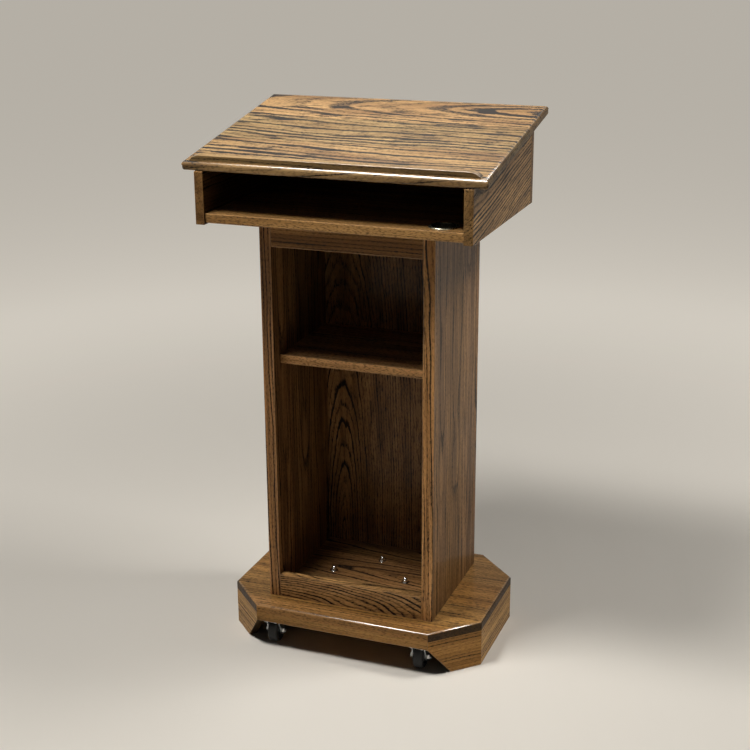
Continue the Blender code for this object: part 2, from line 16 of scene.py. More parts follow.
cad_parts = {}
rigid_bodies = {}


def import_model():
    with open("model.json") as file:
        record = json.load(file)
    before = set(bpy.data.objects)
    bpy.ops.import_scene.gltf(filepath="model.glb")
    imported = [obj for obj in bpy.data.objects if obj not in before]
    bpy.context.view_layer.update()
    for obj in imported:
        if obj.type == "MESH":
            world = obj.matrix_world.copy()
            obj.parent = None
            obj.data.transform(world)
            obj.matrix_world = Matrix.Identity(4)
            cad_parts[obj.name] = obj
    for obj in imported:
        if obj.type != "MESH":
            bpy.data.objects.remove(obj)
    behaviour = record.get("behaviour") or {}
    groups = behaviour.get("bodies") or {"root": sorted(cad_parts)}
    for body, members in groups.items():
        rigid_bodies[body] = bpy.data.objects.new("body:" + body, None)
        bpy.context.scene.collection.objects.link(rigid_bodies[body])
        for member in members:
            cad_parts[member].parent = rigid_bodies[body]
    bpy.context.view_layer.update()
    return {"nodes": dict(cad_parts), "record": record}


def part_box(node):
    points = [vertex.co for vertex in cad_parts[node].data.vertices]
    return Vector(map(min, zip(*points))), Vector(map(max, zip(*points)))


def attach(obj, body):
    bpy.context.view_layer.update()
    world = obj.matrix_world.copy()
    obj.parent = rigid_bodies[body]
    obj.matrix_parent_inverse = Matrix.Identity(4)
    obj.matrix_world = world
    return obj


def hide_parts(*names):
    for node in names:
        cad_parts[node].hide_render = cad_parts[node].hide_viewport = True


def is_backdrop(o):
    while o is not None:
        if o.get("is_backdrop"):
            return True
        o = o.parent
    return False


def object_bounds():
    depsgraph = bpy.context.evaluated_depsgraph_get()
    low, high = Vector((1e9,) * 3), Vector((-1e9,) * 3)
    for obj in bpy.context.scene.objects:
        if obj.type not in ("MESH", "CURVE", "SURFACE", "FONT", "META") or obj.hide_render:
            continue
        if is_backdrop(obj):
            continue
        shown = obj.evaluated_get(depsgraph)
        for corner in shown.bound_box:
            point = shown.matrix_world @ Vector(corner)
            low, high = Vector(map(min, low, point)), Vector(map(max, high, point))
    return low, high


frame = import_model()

scene = bpy.context.scene
scene.view_settings.view_transform = "Standard"
bpy.ops.object.select_all(action="DESELECT")

# %% [markdown]
# ## Camera
# The picture is taken from a standing eye, to the right of the reader's side and a little above the desk.
# A camera could be nudged by eye until the edges line up. Here its place, three angles and focal length
# were solved from the straight edges of the boards, because a solved camera leaves nothing to argue about.
# Turning a fresh camera about X lifts it from straight down, turning about Z swings it round, and a last
# small turn about its own axis is the tilt of the hand that held it.

# %% Camera
EYE = Vector((1.0299, -2.6940, 1.5477))
SWING, LIFT, TILT = (math.radians(a) for a in (20.768, 90 - 18.433, -0.303))
PICTURE_SIDE, FOCAL_PIXELS, SENSOR = 750, 1422.9, 36.0

camera = bpy.data.objects.new("camera", bpy.data.cameras.new("camera"))
scene.collection.objects.link(camera)
aim = Matrix.Rotation(SWING, 4, "Z") @ Matrix.Rotation(LIFT, 4, "X") @ Matrix.Rotation(TILT, 4, "Z")
camera.matrix_world = Matrix.Translation(EYE) @ aim
camera.data.sensor_width = SENSOR
camera.data.lens = SENSOR * FOCAL_PIXELS / PICTURE_SIDE
scene.camera = camera
print("lens:", round(camera.data.lens, 1), "mm")

# %% [markdown]
# ## Colours and nodes
# Colours are written the way a paint chip is, as sRGB hex. Shaders want linear light, so one function
# converts them. Nodes could be placed by hand in the editor, but a script can be read again, so a second
# function adds a node, sets it, links it and gives back its first output. Some inputs go by number. In a Map
# Range, 0 is the value, 1 and 2 are the ends that it lies between, and 3 and 4 are what they become. In a Mix
# of colours, 0 is the share, and 6 and 7 are the two colours.

# %% Colours and nodes
def linear(chip):
    """An sRGB hex colour as linear red, green, blue and alpha."""
    parts = [int(chip[i : i + 2], 16) / 255 for i in (1, 3, 5)]
    return (*[c / 12.92 if c <= 0.04045 else ((c + 0.055) / 1.055) ** 2.4 for c in parts], 1.0)


def add(tree, kind, inputs=None, **settings):
    """Adds a node to a tree and gives its first output. Inputs are values or other nodes' outputs."""
    node = tree.nodes.new(kind)
    for name, value in settings.items():
        setattr(node, name, value)
    for name, value in (inputs or {}).items():
        if isinstance(value, bpy.types.NodeSocket):
            tree.links.new(value, node.inputs[name])
        else:
            node.inputs[name].default_value = value
    return next((out for out in node.outputs if out.enabled), None)


def new_material(name):
    """A material with its node tree and its Principled shader."""
    material = bpy.data.materials.new(name)
    material.use_nodes = True
    return material, material.node_tree, material.node_tree.nodes["Principled BSDF"]


MATH, VECTOR, MIX = "ShaderNodeMath", "ShaderNodeVectorMath", "ShaderNodeMix"
NOISE, RANGE = "ShaderNodeTexNoise", "ShaderNodeMapRange"
SOFT = {"interpolation_type": "SMOOTHSTEP"}
print("white is", [round(c, 2) for c in linear("#ffffff")])

# %% [markdown]
# ## Floor
# A satin finish shows what stands round it, so the surround is part of the finish. The floor is one large
# disc of a plain pale colour, open on every side. A floor that curves up behind would do for one view, but
# not for a walk round the lectern. The lamps reach the floor only near the lectern, and further out it would
# go black. So it glows there, but only for the camera and for mirror rays. Its paint is matt and has no
# highlight, so that it gives the eye a plain ground.

# %% Floor
PALE = linear("#ddd6ca")
FLOOR_RADIUS, FLOOR_CORNERS, FLOOR_ROUGHNESS = 30.0, 96, 0.85
GLOW, GLOW_NEAR, GLOW_FAR = 0.62, 0.7, 3.0


def seen_rays(tree):
    """One for rays from the camera, a mirror or a glass, and nought for the rest."""
    ray = add(tree, "ShaderNodeLightPath").node.outputs
    seen = add(tree, MATH, {0: ray["Is Camera Ray"], 1: ray["Is Glossy Ray"]}, operation="MAXIMUM")
    return add(tree, MATH, {0: seen, 1: ray["Is Transmission Ray"]}, operation="MAXIMUM")


bpy.ops.mesh.primitive_circle_add(vertices=FLOOR_CORNERS, radius=FLOOR_RADIUS, fill_type="NGON")
floor = bpy.context.object
floor.name = "floor"
floor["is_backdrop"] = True
material, tree, shader = new_material("floor_matt_pale")
spot = add(tree, "ShaderNodeTexCoord").node.outputs["Object"]
reach = add(tree, VECTOR, {0: spot}, operation="LENGTH")
glow = add(tree, RANGE, {0: reach, 1: GLOW_NEAR, 2: GLOW_FAR, 4: GLOW}, **SOFT)
glow = add(tree, MATH, {0: glow, 1: seen_rays(tree)}, operation="MULTIPLY")
tree.links.new(glow, shader.inputs["Emission Strength"])
shader.inputs["Emission Color"].default_value = PALE
shader.inputs["Base Color"].default_value = PALE
shader.inputs["Roughness"].default_value = FLOOR_ROUGHNESS
shader.inputs["Specular IOR Level"].default_value = 0.0
floor.data.materials.append(material)
print("floor:", 2 * FLOOR_RADIUS, "m wide")

# %% [markdown]
# ## Surround
# The surround has the floor's pale tone for the camera and for mirror rays, which could also come from a wide
# wall. All other rays meet a dim grey one, which no wall could give at the same time, and it leaves the
# insides of the shelves dark.

# %% Surround
DIM, DIM_LEVEL, PALE_LEVEL = linear("#8d9094"), 0.06, 0.65
world = bpy.data.worlds.new("surround")
scene.world = world
world.use_nodes = True
tree = world.node_tree
tones = [[level * c for c in tone[:3]] + [1.0] for tone, level in ((DIM, DIM_LEVEL), (PALE, PALE_LEVEL))]
tone = add(tree, MIX, {0: seen_rays(tree), 6: tones[0], 7: tones[1]}, data_type="RGBA")
tree.links.new(tone, tree.nodes["Background"].inputs["Color"])
print("surround for seen rays:", PALE_LEVEL, "and for the rest:", DIM_LEVEL)

# %% [markdown]
# ## Light
# The real lectern was lit almost from straight above: its desk is bright, its fronts are darker, and only
# the first finger's breadth of each shelf is lit. A lamp in front would pour light into the shelves. So a
# steep key lamp stands to the reader's left and a weaker one to the right, behind. Both are small, and small
# lamps draw only dots on a rounded edge. The long white lines along the desk and the deck come from two wide
# lamps overhead that light nothing by themselves: they only show in the gloss of the lacquer.

# %% Light
LAMPS = {
    "key": dict(place=(-0.6, -0.78, 2.75), target=(0.0, -0.1, 0.6), size=(0.7, 0.4), watts=56),
    "right": dict(place=(1.25, 0.35, 2.5), target=(0.25, 0.1, 0.6), size=(0.6, 0.6), watts=32),
    "gloss_left": dict(place=(-0.38, -0.5, 2.75), target=(-0.38, -0.5, 0.0), size=(0.75, 3.4), watts=260),
    "gloss_right": dict(place=(1.35, 0.45, 2.75), target=(1.35, 0.45, 0.0), size=(1.7, 1.5), watts=260),
}


def lamp(name, place, target, size, watts):
    """A soft rectangular lamp aimed at a point."""
    data = bpy.data.lights.new(name, "AREA")
    data.shape = "RECTANGLE"
    data.size, data.size_y = size
    data.energy = watts
    light = bpy.data.objects.new(name, data)
    light.location = place
    light.rotation_euler = (Vector(target) - Vector(place)).to_track_quat("-Z", "Y").to_euler()
    scene.collection.objects.link(light)
    return light


lamps = {name: lamp(name, **choice) for name, choice in LAMPS.items()}
gloss_lamps = [lamps["gloss_left"], lamps["gloss_right"]]
for gloss in gloss_lamps:
    gloss.visible_diffuse = False
print("lamps:", list(lamps))

# %% [markdown]
# ## Which way a board lies
# Each board has its own three directions: along the grain, across it, and through its thickness. A pattern
# could be stretched along the world's axes, but the desk slopes and the corner skirts run at 45 degrees, so
# each board gets its own turn. Its size is measured along those same directions, from the solid's points.

# %% Board directions
SLOPE = math.radians(10.18)
DIAGONAL = math.sqrt(0.5)
WAYS = {
    "X": Vector((1, 0, 0)),
    "Y": Vector((0, 1, 0)),
    "Z": Vector((0, 0, 1)),
    "up_slope": Vector((0, math.cos(SLOPE), math.sin(SLOPE))),
    "clip_out": Vector((DIAGONAL, DIAGONAL, 0)),
    "clip_in": Vector((DIAGONAL, -DIAGONAL, 0)),
}


def board_turn(along, across):
    """The turn that takes the world's axes to a board's own: along, across and through."""
    first, second = WAYS[along], WAYS[across]
    return Matrix((first, second, first.cross(second))).transposed()


def own_box(node, turn):
    """Lowest and highest corner of a solid, measured along its own directions."""
    points = [turn.transposed() @ point.co for point in frame["nodes"][node].data.vertices]
    return (Vector([pick_end(p[i] for p in points) for i in range(3)]) for pick_end in (min, max))


low, high = own_box("desk_top", board_turn("X", "up_slope"))
print("desk in mm:", [round(1000 * s, 1) for s in high - low])

# %% [markdown]
# ## Stained red oak under satin lacquer
# A board is cut from a trunk of nested rings. Each year starts with a band of wide pores, which soak up
# stain and go dark, and ends in dense wood, which stays lighter. Where the saw runs nearly along a ring it
# opens into arches, and further out the lines run straight. A stretched noise gives straight streaks but
# never an arch. So the pattern is made the way it grows: the distance from the tree's middle is counted in
# years, and each board says where that middle lay and how it leaned. Real oak has years of 2 to 4 mm and
# pores of a third of a millimetre. Both are too fine to show at this distance, so they are drawn coarser:
# the years about twice as wide, and four times as wide on the desk, whose figure is bold.

# %% Oak: sizes and tones
def mm(size):
    """Patterns per metre for a pattern of this many millimetres."""
    return 1000.0 / size


YEAR = 7.0
WANDER = Vector((mm(300), mm(90), mm(90)))
FLAME = Vector((mm(110), mm(9), mm(9)))
PORES = Vector((mm(8), mm(2.2), mm(2.2)))
STREAKS = Vector((mm(260), mm(3.4), mm(3.4)))
SWELLS = Vector((mm(110), mm(22), mm(22)))
BROAD = Vector((mm(500), mm(24), mm(24)))
CLOUD = mm(150)
STAINS = {
    "desk": [linear(chip) for chip in ("#b8935f", "#8a673e", "#17100b")],
    "body": [linear(chip) for chip in ("#a57a48", "#79552e", "#150e09")],
    "base": [linear(chip) for chip in ("#a87c44", "#7e592b", "#170f09")],
}
print("a year is drawn", YEAR, "mm wide")

# %% [markdown]
# ### What differs from board to board
# The tree and the maker make these choices between them. They could be the arguments of one long function,
# but 25 boards would then repeat the same numbers. So every board starts from this plain one and later
# names only what it does otherwise.

# %% Oak: the plain board
PLAIN_CUT = dict(
    # glued up from staves this wide, in metres, from places this far apart in the tree
    stave=2.0, spread=0.0, seed=0.0,
    # where the tree's middle lay: to the side and below the face in metres, then its lean in degrees
    pith=(0.0, 0.03), lean=0.0, drift=0.0,
    # years: width and wandering in millimetres, and how ragged their edges are
    year=YEAR, wander=(7.0, 12.0), flame=0.45,
    # bands of stain: strength, strength on faces and on edges, likeness, width and dark lenses
    bold=1.0, face=1.0, edge=1.0, even=0.3, wide=0.0, swell=0.2,
    # fine lines and pores: strength, and how much coarser they are drawn
    fine=0.4, pore=0.3, coarse=1.0,
    # tone: of all, also painted light and shade per board; painted light on narrow edges; of sawn ends;
    # painted shade on the side that looks inwards
    tone_and_painted_light=1.0, painted_edge_light=1.0, ends=0.12, inner=1.0, stain="body",
)
print("a board has", len(PLAIN_CUT), "choices")

# %% [markdown]
# ### Growth
# The first part of the oak finds where a point lies in the trunk. Wide panels are glued up from staves, and
# each stave comes from another part of the tree. Staves could be separate objects, but here a random number
# per stave moves the pattern, and the board stays in one piece. A slow noise makes the trunk wander, and a
# finer one gives each year its ragged, flame-like edge.

# %% Oak: growth
LOG_LENGTH, LEAST_DEEP, MORE_DEEP = 7.0, 0.7, 0.6
# a board's wandering is in millimetres to either side, and the noise needs all of it in metres
SWING_UNIT = 2 / 1000
LUCK = "ShaderNodeTexWhiteNoise"


def growth(tree, own, cut):
    """Place in the log, season of the year (0 at its start), that year's luck and the stave's luck."""
    stave, spread, seed = cut["stave"], cut["spread"], cut["seed"]
    side, below = cut["pith"]
    lean, drift = math.radians(cut["lean"]), math.radians(cut["drift"])
    across = add(tree, "ShaderNodeSeparateXYZ", {0: own}).node.outputs["Y"]
    lot = add(tree, MATH, {0: across, 1: 1 / stave, 2: 0.5}, operation="MULTIPLY_ADD")
    lot = add(tree, MATH, {0: lot}, operation="FLOOR")
    key = add(tree, MATH, {0: lot, 1: seed}, operation="ADD")
    luck = add(tree, LUCK, {"W": key}, noise_dimensions="1D").node.outputs["Color"]
    stave_middle = add(tree, VECTOR, {0: (0.0, -stave, 0.0), "Scale": lot}, operation="SCALE")
    in_stave = add(tree, VECTOR, {0: own, 1: stave_middle}, operation="ADD")
    least = (0.0, -side - spread / 2, LEAST_DEEP * below)
    moved = {0: luck, 1: (LOG_LENGTH, spread, MORE_DEEP * below), 2: least}
    moved = add(tree, VECTOR, moved, operation="MULTIPLY_ADD")
    log = add(tree, "ShaderNodeMapping", {"Vector": in_stave, "Rotation": (0.0, lean, drift)})
    log = add(tree, VECTOR, {0: log, 1: moved}, operation="ADD")
    slow = add(tree, VECTOR, {0: log, 1: WANDER}, operation="MULTIPLY")
    slow = add(tree, NOISE, {"Vector": slow, "Scale": 1.0, "Detail": 2.0}).node.outputs["Color"]
    swing = (0.0, *[SWING_UNIT * size for size in cut["wander"]])
    slow = add(tree, VECTOR, {0: slow, 1: swing, 2: [-s / 2 for s in swing]}, operation="MULTIPLY_ADD")
    ring = add(tree, VECTOR, {0: log, 1: slow}, operation="ADD")
    ring = add(tree, VECTOR, {0: ring, 1: (0.0, 1.0, 1.0)}, operation="MULTIPLY")
    radius = add(tree, VECTOR, {0: ring}, operation="LENGTH")
    ragged = add(tree, VECTOR, {0: log, 1: FLAME}, operation="MULTIPLY")
    ragged = add(tree, NOISE, {"Vector": ragged, "Scale": 1.0, "Detail": 3.0})
    years = add(tree, MATH, {0: radius, 1: mm(cut["year"]), 2: seed}, operation="MULTIPLY_ADD")
    years = add(tree, MATH, {0: ragged, 1: cut["flame"], 2: years}, operation="MULTIPLY_ADD")
    season = add(tree, MATH, {0: years}, operation="FRACT")
    count = add(tree, MATH, {0: years}, operation="FLOOR")
    return log, season, add(tree, LUCK, {"W": count}, noise_dimensions="1D"), luck


print("staves come from a log of", LOG_LENGTH, "m")

# %% [markdown]
# ### Which face is this?
# A board shows broad sides, narrow edges and sawn ends, and each takes the stain in its own way. They could
# be marked by hand with face groups. The material finds them by itself, by comparing the way that the
# surface looks with the board's own directions, so it also works on rounded edges.

# %% Oak: faces
SAWN, BROADSIDE, FLAT_ENOUGH, INWARDS_FOR_PAINTED_SHADE = (0.45, 0.7), (0.7, 0.97), (0.96, 0.995), (0.5, 0.9)


def face_kinds(tree, normal, cut):
    """How far a point lies on a sawn end, a broad side, a flat, and the side that looks inwards."""
    along, across = WAYS[cut["along"]], WAYS[cut["across"]]
    looks = [
        add(tree, VECTOR, {0: normal, 1: way}, operation="DOT_PRODUCT")
        for way in (along, across, along.cross(across))
    ]
    square = [add(tree, MATH, {0: look}, operation="ABSOLUTE") for look in looks]
    sawn = add(tree, RANGE, {0: square[0], 1: SAWN[0], 2: SAWN[1]}, **SOFT)
    broadside = add(tree, RANGE, {0: square[2], 1: BROADSIDE[0], 2: BROADSIDE[1]})
    flat = add(tree, MATH, {0: square[1], 1: square[2]}, operation="MAXIMUM")
    flat = add(tree, RANGE, {0: flat, 1: FLAT_ENOUGH[0], 2: FLAT_ENOUGH[1]})
    flat = add(tree, MATH, {0: flat, 1: sawn}, operation="MAXIMUM")
    # this mask says where painted shade goes
    inwards = add(tree, RANGE, {0: looks[2], 1: INWARDS_FOR_PAINTED_SHADE[0], 2: INWARDS_FOR_PAINTED_SHADE[1]})
    return sawn, broadside, flat, inwards


print("flats slant less than", round(math.degrees(math.acos(FLAT_ENOUGH[1])), 1), "degrees")

# %% [markdown]
# ### Stain
# Early wood goes dark, most of all in some years, and here and there the stain pools into a dark lens.
# Between the years run fine lines, and over all lie the pores, short dashes along the grain. Each could tint
# the colour by itself, but then dark on dark would turn black in patches. So all of that adds up to one
# number, which says how much stain a point took.

# %% Oak: stain
RISE, FALL, LENS, PORE, LINE = (0.0, 0.07), (0.14, 0.48), (0.54, 0.68), (0.46, 0.66), (0.5, 0.72)
LENS_WIDER, LENS_DARKER, WET_YEARS, WET_POWER, END_FIGURE = 0.3, 0.6, 0.9, 2.0, 0.25
IN_PORES, BETWEEN_PORES = 0.35, 0.78


def stain_taken(tree, log, season, year_luck, faces, cut):
    """How much stain each point took, from 0 to 1."""
    noises = []
    for size, detail in ((SWELLS, 2.0), (PORES, 1.0), (STREAKS, 2.0)):
        place = add(tree, VECTOR, {0: log, 1: size}, operation="MULTIPLY")
        noises.append(add(tree, NOISE, {"Vector": place, "Scale": 1.0, "Detail": detail}))
    lens = add(tree, RANGE, {0: noises[0], 1: LENS[0], 2: LENS[1], 4: cut["swell"]}, **SOFT)
    pores = add(tree, RANGE, {0: noises[1], 1: PORE[0], 2: PORE[1]}, **SOFT)
    lines = add(tree, RANGE, {0: noises[2], 1: LINE[0], 2: LINE[1], 4: cut["fine"]}, **SOFT)
    # early wood: dark at once when the year starts, then fading, later where there is a lens
    rise = add(tree, RANGE, {0: season, 1: RISE[0], 2: RISE[1]})
    late = add(tree, MATH, {0: lens, 1: -LENS_WIDER, 2: season}, operation="MULTIPLY_ADD")
    late = add(tree, MATH, {0: late, 1: cut["wide"]}, operation="SUBTRACT")
    fall = add(tree, RANGE, {0: late, 1: FALL[0], 2: FALL[1], 3: 1.0, 4: 0.0}, **SOFT)
    band = add(tree, MATH, {0: rise, 1: fall}, operation="MULTIPLY")
    # a few years are much darker than the rest
    bold = cut["bold"]
    wet = add(tree, MATH, {0: year_luck, 1: WET_POWER}, operation="POWER")
    wet = add(tree, MATH, {0: wet, 1: WET_YEARS * bold, 2: cut["even"] * bold}, operation="MULTIPLY_ADD")
    wet = add(tree, MATH, {0: lens, 1: LENS_DARKER, 2: wet}, operation="MULTIPLY_ADD")
    on_ends = add(tree, RANGE, {0: faces[0], 3: 1.0, 4: END_FIGURE})
    on_faces = add(tree, RANGE, {0: faces[1], 3: cut["edge"], 4: cut["face"]})
    soaked = add(tree, MATH, {0: pores, 1: IN_PORES, 2: BETWEEN_PORES}, operation="MULTIPLY_ADD")
    for factor in (wet, on_ends, on_faces, soaked):
        band = add(tree, MATH, {0: band, 1: factor}, operation="MULTIPLY")
    taken = add(tree, MATH, {0: pores, 1: cut["pore"], 2: band}, operation="MULTIPLY_ADD")
    return add(tree, MATH, {0: taken, 1: lines}, operation="ADD", use_clamp=True)


print("early wood has faded at", FALL[1], "of a year")

# %% [markdown]
# ### Colour
# Under the stain lies a ground of broad light and mid streaks. Staves differ a little, the stain gathers in
# clouds, and sawn ends drink it until they are nearly black. A ramp of many colours could draw all of this,
# but three chips per stain and a tone that multiplies them are easier to match to a board.
# The tone also carries painted light and shade: a tone per board, lighter narrow edges and a darker inward
# side stand for how the light falls on each.

# %% Oak: colour
GROUND = (0.35, 0.65)
STAVE_TONE, CLOUD_TONE, LEAST_TONE = 0.24, 0.34, 0.72
TINT, PLAIN_TINT = (0.12, 0.0, -0.2), (0.94, 1.0, 1.1)


def board_colour(tree, log, luck, cloud, taken, faces, cut):
    """Ground, stain, stave and end tones, then painted light and painted shading per board, edge and inner
    side.
    """
    light, mid, dark = STAINS[cut["stain"]]
    broad = add(tree, VECTOR, {0: log, 1: BROAD}, operation="MULTIPLY")
    broad = add(tree, NOISE, {"Vector": broad, "Scale": 1.0, "Detail": 2.0})
    ground = add(tree, RANGE, {0: broad, 1: GROUND[0], 2: GROUND[1]})
    colour = add(tree, MIX, {0: ground, 6: light, 7: mid}, data_type="RGBA")
    colour = add(tree, MIX, {0: taken, 6: colour, 7: dark}, data_type="RGBA")
    tone = add(tree, "ShaderNodeSeparateColor", {0: luck}).node.outputs["Green"]
    tone = add(tree, MATH, {0: tone, 1: STAVE_TONE, 2: LEAST_TONE}, operation="MULTIPLY_ADD")
    tone = add(tree, MATH, {0: cloud, 1: CLOUD_TONE, 2: tone}, operation="MULTIPLY_ADD")
    sawn, broadside, _, inwards = faces
    ends = add(tree, RANGE, {0: sawn, 3: 1.0, 4: cut["ends"]})
    # painted light: narrow edges are drawn lighter, as where more light falls on them
    edges = add(tree, RANGE, {0: broadside, 3: cut["painted_edge_light"], 4: 1.0})
    # painted shade: the side that looks inwards is drawn darker, as inside the shelves
    inner = add(tree, RANGE, {0: inwards, 3: 1.0, 4: cut["inner"]})
    # the board's own tone, partly painted light and shade, times the three factors above
    for factor in (cut["tone_and_painted_light"], ends, edges, inner):
        tone = add(tree, MATH, {0: tone, 1: factor}, operation="MULTIPLY")
    colour = add(tree, VECTOR, {0: colour, "Scale": tone}, operation="SCALE")
    tint = add(tree, VECTOR, {0: luck, 1: TINT, 2: PLAIN_TINT}, operation="MULTIPLY_ADD")
    return add(tree, VECTOR, {0: colour, 1: tint}, operation="MULTIPLY")


print("stains:", sorted(STAINS))

# %% [markdown]
# ### Worn arrises
# Hands and cloths rub the arrises light again. Pointiness could find them, but it needs many points along an
# edge, and a sawn board has none. An arris is where two faces meet, so two of the three distances to the
# board's faces are small there, and the middle one of the three is what counts.

# %% Oak: worn arrises
ARRIS_WEAR, MOST_WEAR = 0.0018, 0.9


def arris_wear(tree, own, half, cloud):
    """How far each arris is rubbed, more in some places than in others."""
    inset = add(tree, VECTOR, {0: own}, operation="ABSOLUTE")
    inset = add(tree, VECTOR, {0: half, 1: inset}, operation="SUBTRACT")
    a, b, c = add(tree, "ShaderNodeSeparateXYZ", {0: inset}).node.outputs
    near = add(tree, MATH, {0: a, 1: b}, operation="MINIMUM")
    far = add(tree, MATH, {0: a, 1: b}, operation="MAXIMUM")
    far = add(tree, MATH, {0: far, 1: c}, operation="MINIMUM")
    arris = add(tree, MATH, {0: near, 1: far}, operation="MAXIMUM")
    worn = add(tree, RANGE, {0: arris, 2: ARRIS_WEAR, 3: MOST_WEAR, 4: 0.0})
    return add(tree, MATH, {0: worn, 1: cloud}, operation="MULTIPLY")


print("arrises are rubbed over", 1000 * ARRIS_WEAR, "mm")

# %% [markdown]
# ### Lacquer
# One coat of satin lacquer lies over all, a clear coat with its own gloss. The wood could be made glossy
# itself, but then its pits would break up every reflection. The maker rubs the lacquer down on the flats and
# lets it be on the rounded edges, which is where the thin white lines come from. The wood under it is nearly
# dull, and its pores show as shallow pits.

# %% Oak: a board's material
RUBBED, LACQUER_GLOSS, WOOD_SHINE = 0.18, 0.2, 0.05
WOOD_GLOSS, STAIN_GLOSS, PIT_DEPTH, PIT_STRENGTH = 0.4, 0.2, 0.0004, 0.2


def oak(node, cut):
    """Stained and lacquered oak for one board, from how it was cut."""
    material, tree, shader = new_material(f"red_oak_stained_{node}")
    cut = {**PLAIN_CUT, **cut}
    turn = board_turn(cut["along"], cut["across"])
    low, high = own_box(node, turn)
    coords = add(tree, "ShaderNodeTexCoord").node.outputs
    place = {"Vector": coords["Object"], "Location": turn @ (low + high) / 2, "Rotation": turn.to_euler()}
    own = add(tree, "ShaderNodeMapping", place, vector_type="TEXTURE")
    faces = face_kinds(tree, coords["Normal"], cut)
    cloud = add(tree, NOISE, {"Vector": own, "Scale": CLOUD, "Detail": 2.0})
    log, season, year_luck, luck = growth(tree, own, cut)
    log = add(tree, VECTOR, {0: log, 1: (1.0, 1 / cut["coarse"], 1 / cut["coarse"])}, operation="MULTIPLY")
    taken = stain_taken(tree, log, season, year_luck, faces, cut)
    colour = board_colour(tree, log, luck, cloud, taken, faces, cut)
    wear = arris_wear(tree, own, (high - low) / 2, cloud)
    colour = add(tree, MIX, {0: wear, 6: colour, 7: STAINS[cut["stain"]][0]}, data_type="RGBA")
    tree.links.new(colour, shader.inputs["Base Color"])
    gloss = add(tree, MATH, {0: taken, 1: STAIN_GLOSS, 2: WOOD_GLOSS}, operation="MULTIPLY_ADD")
    tree.links.new(gloss, shader.inputs["Roughness"])
    pits = add(tree, MATH, {0: taken, 1: -1.0}, operation="MULTIPLY")
    bump = add(tree, "ShaderNodeBump", {"Height": pits, "Strength": PIT_STRENGTH, "Distance": PIT_DEPTH})
    tree.links.new(bump, shader.inputs["Normal"])
    lacquer = add(tree, RANGE, {0: faces[2], 3: 1.0, 4: RUBBED})
    tree.links.new(lacquer, shader.inputs["Coat Weight"])
    shader.inputs["Specular IOR Level"].default_value = WOOD_SHINE
    shader.inputs["Coat Roughness"].default_value = LACQUER_GLOSS
    return material


def coat(node, material):
    """Gives a solid of the frame a finish in place of its plain one."""
    for slot in frame["nodes"][node].material_slots:
        slot.material = material


print("lacquer left on flats:", RUBBED)

# %% [markdown]
# ## How each board was cut
# A maker lays the grain along a board's length: across the desk and the shelves, up the column, back along
# the head's sides and round the skirts. The figure is set board by board: where the tree's middle lay to
# the side and below the face, how it leaned, and how bold its years are. Boards could share one material,
# but then every arch would line up from board to board, as it never does in a real piece. The head comes
# first. Its desk is glued up from wide staves with the widest years of all, and dark lenses lie among them.
# Each board's tone is also painted light and shade for where it stands, as are its edge and inner-side
# factors.

# %% Boards of the head
HEAD = {
    "desk_top": dict(
        along="X", across="up_slope", stave=0.15, spread=0.3, pith=(0.0, 0.045), lean=7, year=14,
        wander=(18, 10), flame=0.4, seed=589, coarse=1.5, bold=1.8, even=0.1, edge=0.3, painted_edge_light=1.3, wide=0.18,
        fine=0.75, swell=1.0, tone_and_painted_light=0.79, ends=0.3, stain="desk",
    ),
    "book_stop": dict(along="X", across="up_slope", pith=(0.02, 0.06), seed=22, tone_and_painted_light=0.6, stain="desk"),
    "desk_cleat_left": dict(along="up_slope", across="X", pith=(0.03, 0.03), seed=23),
    "desk_cleat_right": dict(along="up_slope", across="X", pith=(0.03, 0.03), seed=24),
    # its inner is painted shade on its face inside the cubby
    "head_side_left": dict(
        along="Y", across="Z", pith=(0.08, 0.03), lean=2, seed=3, tone_and_painted_light=0.95, ends=0.66, inner=0.27,
    ),
    "head_side_right": dict(
        along="Y", across="Z", pith=(0.05, 0.03), lean=4, drift=-13, flame=0.7, seed=4, bold=1.9, wide=0.08,
        fine=0.6, swell=0.6, tone_and_painted_light=1.0, ends=0.92,
    ),
    "head_rear_panel": dict(along="X", across="Z", pith=(0.01, 0.08), lean=6, seed=5, ends=0.4),
    "head_shelf": dict(
        along="X", across="Y", stave=0.11, spread=0.1, seed=6, bold=0.4, edge=0.4, painted_edge_light=1.6, fine=0.25,
        pore=0.55, swell=0.0,
    ),
}
print("boards of the head:", len(HEAD))

# %% [markdown]
# ### Column
# The sides are glued up from straight-grained staves, so only fine lines show. The rear panel is one wide
# board with an arch that climbs its left half, seen from the reader's side, and the apron's lines run aslant,
# because its tree leaned. One seed for all would be simpler, but an arch has to be looked for seed by seed.

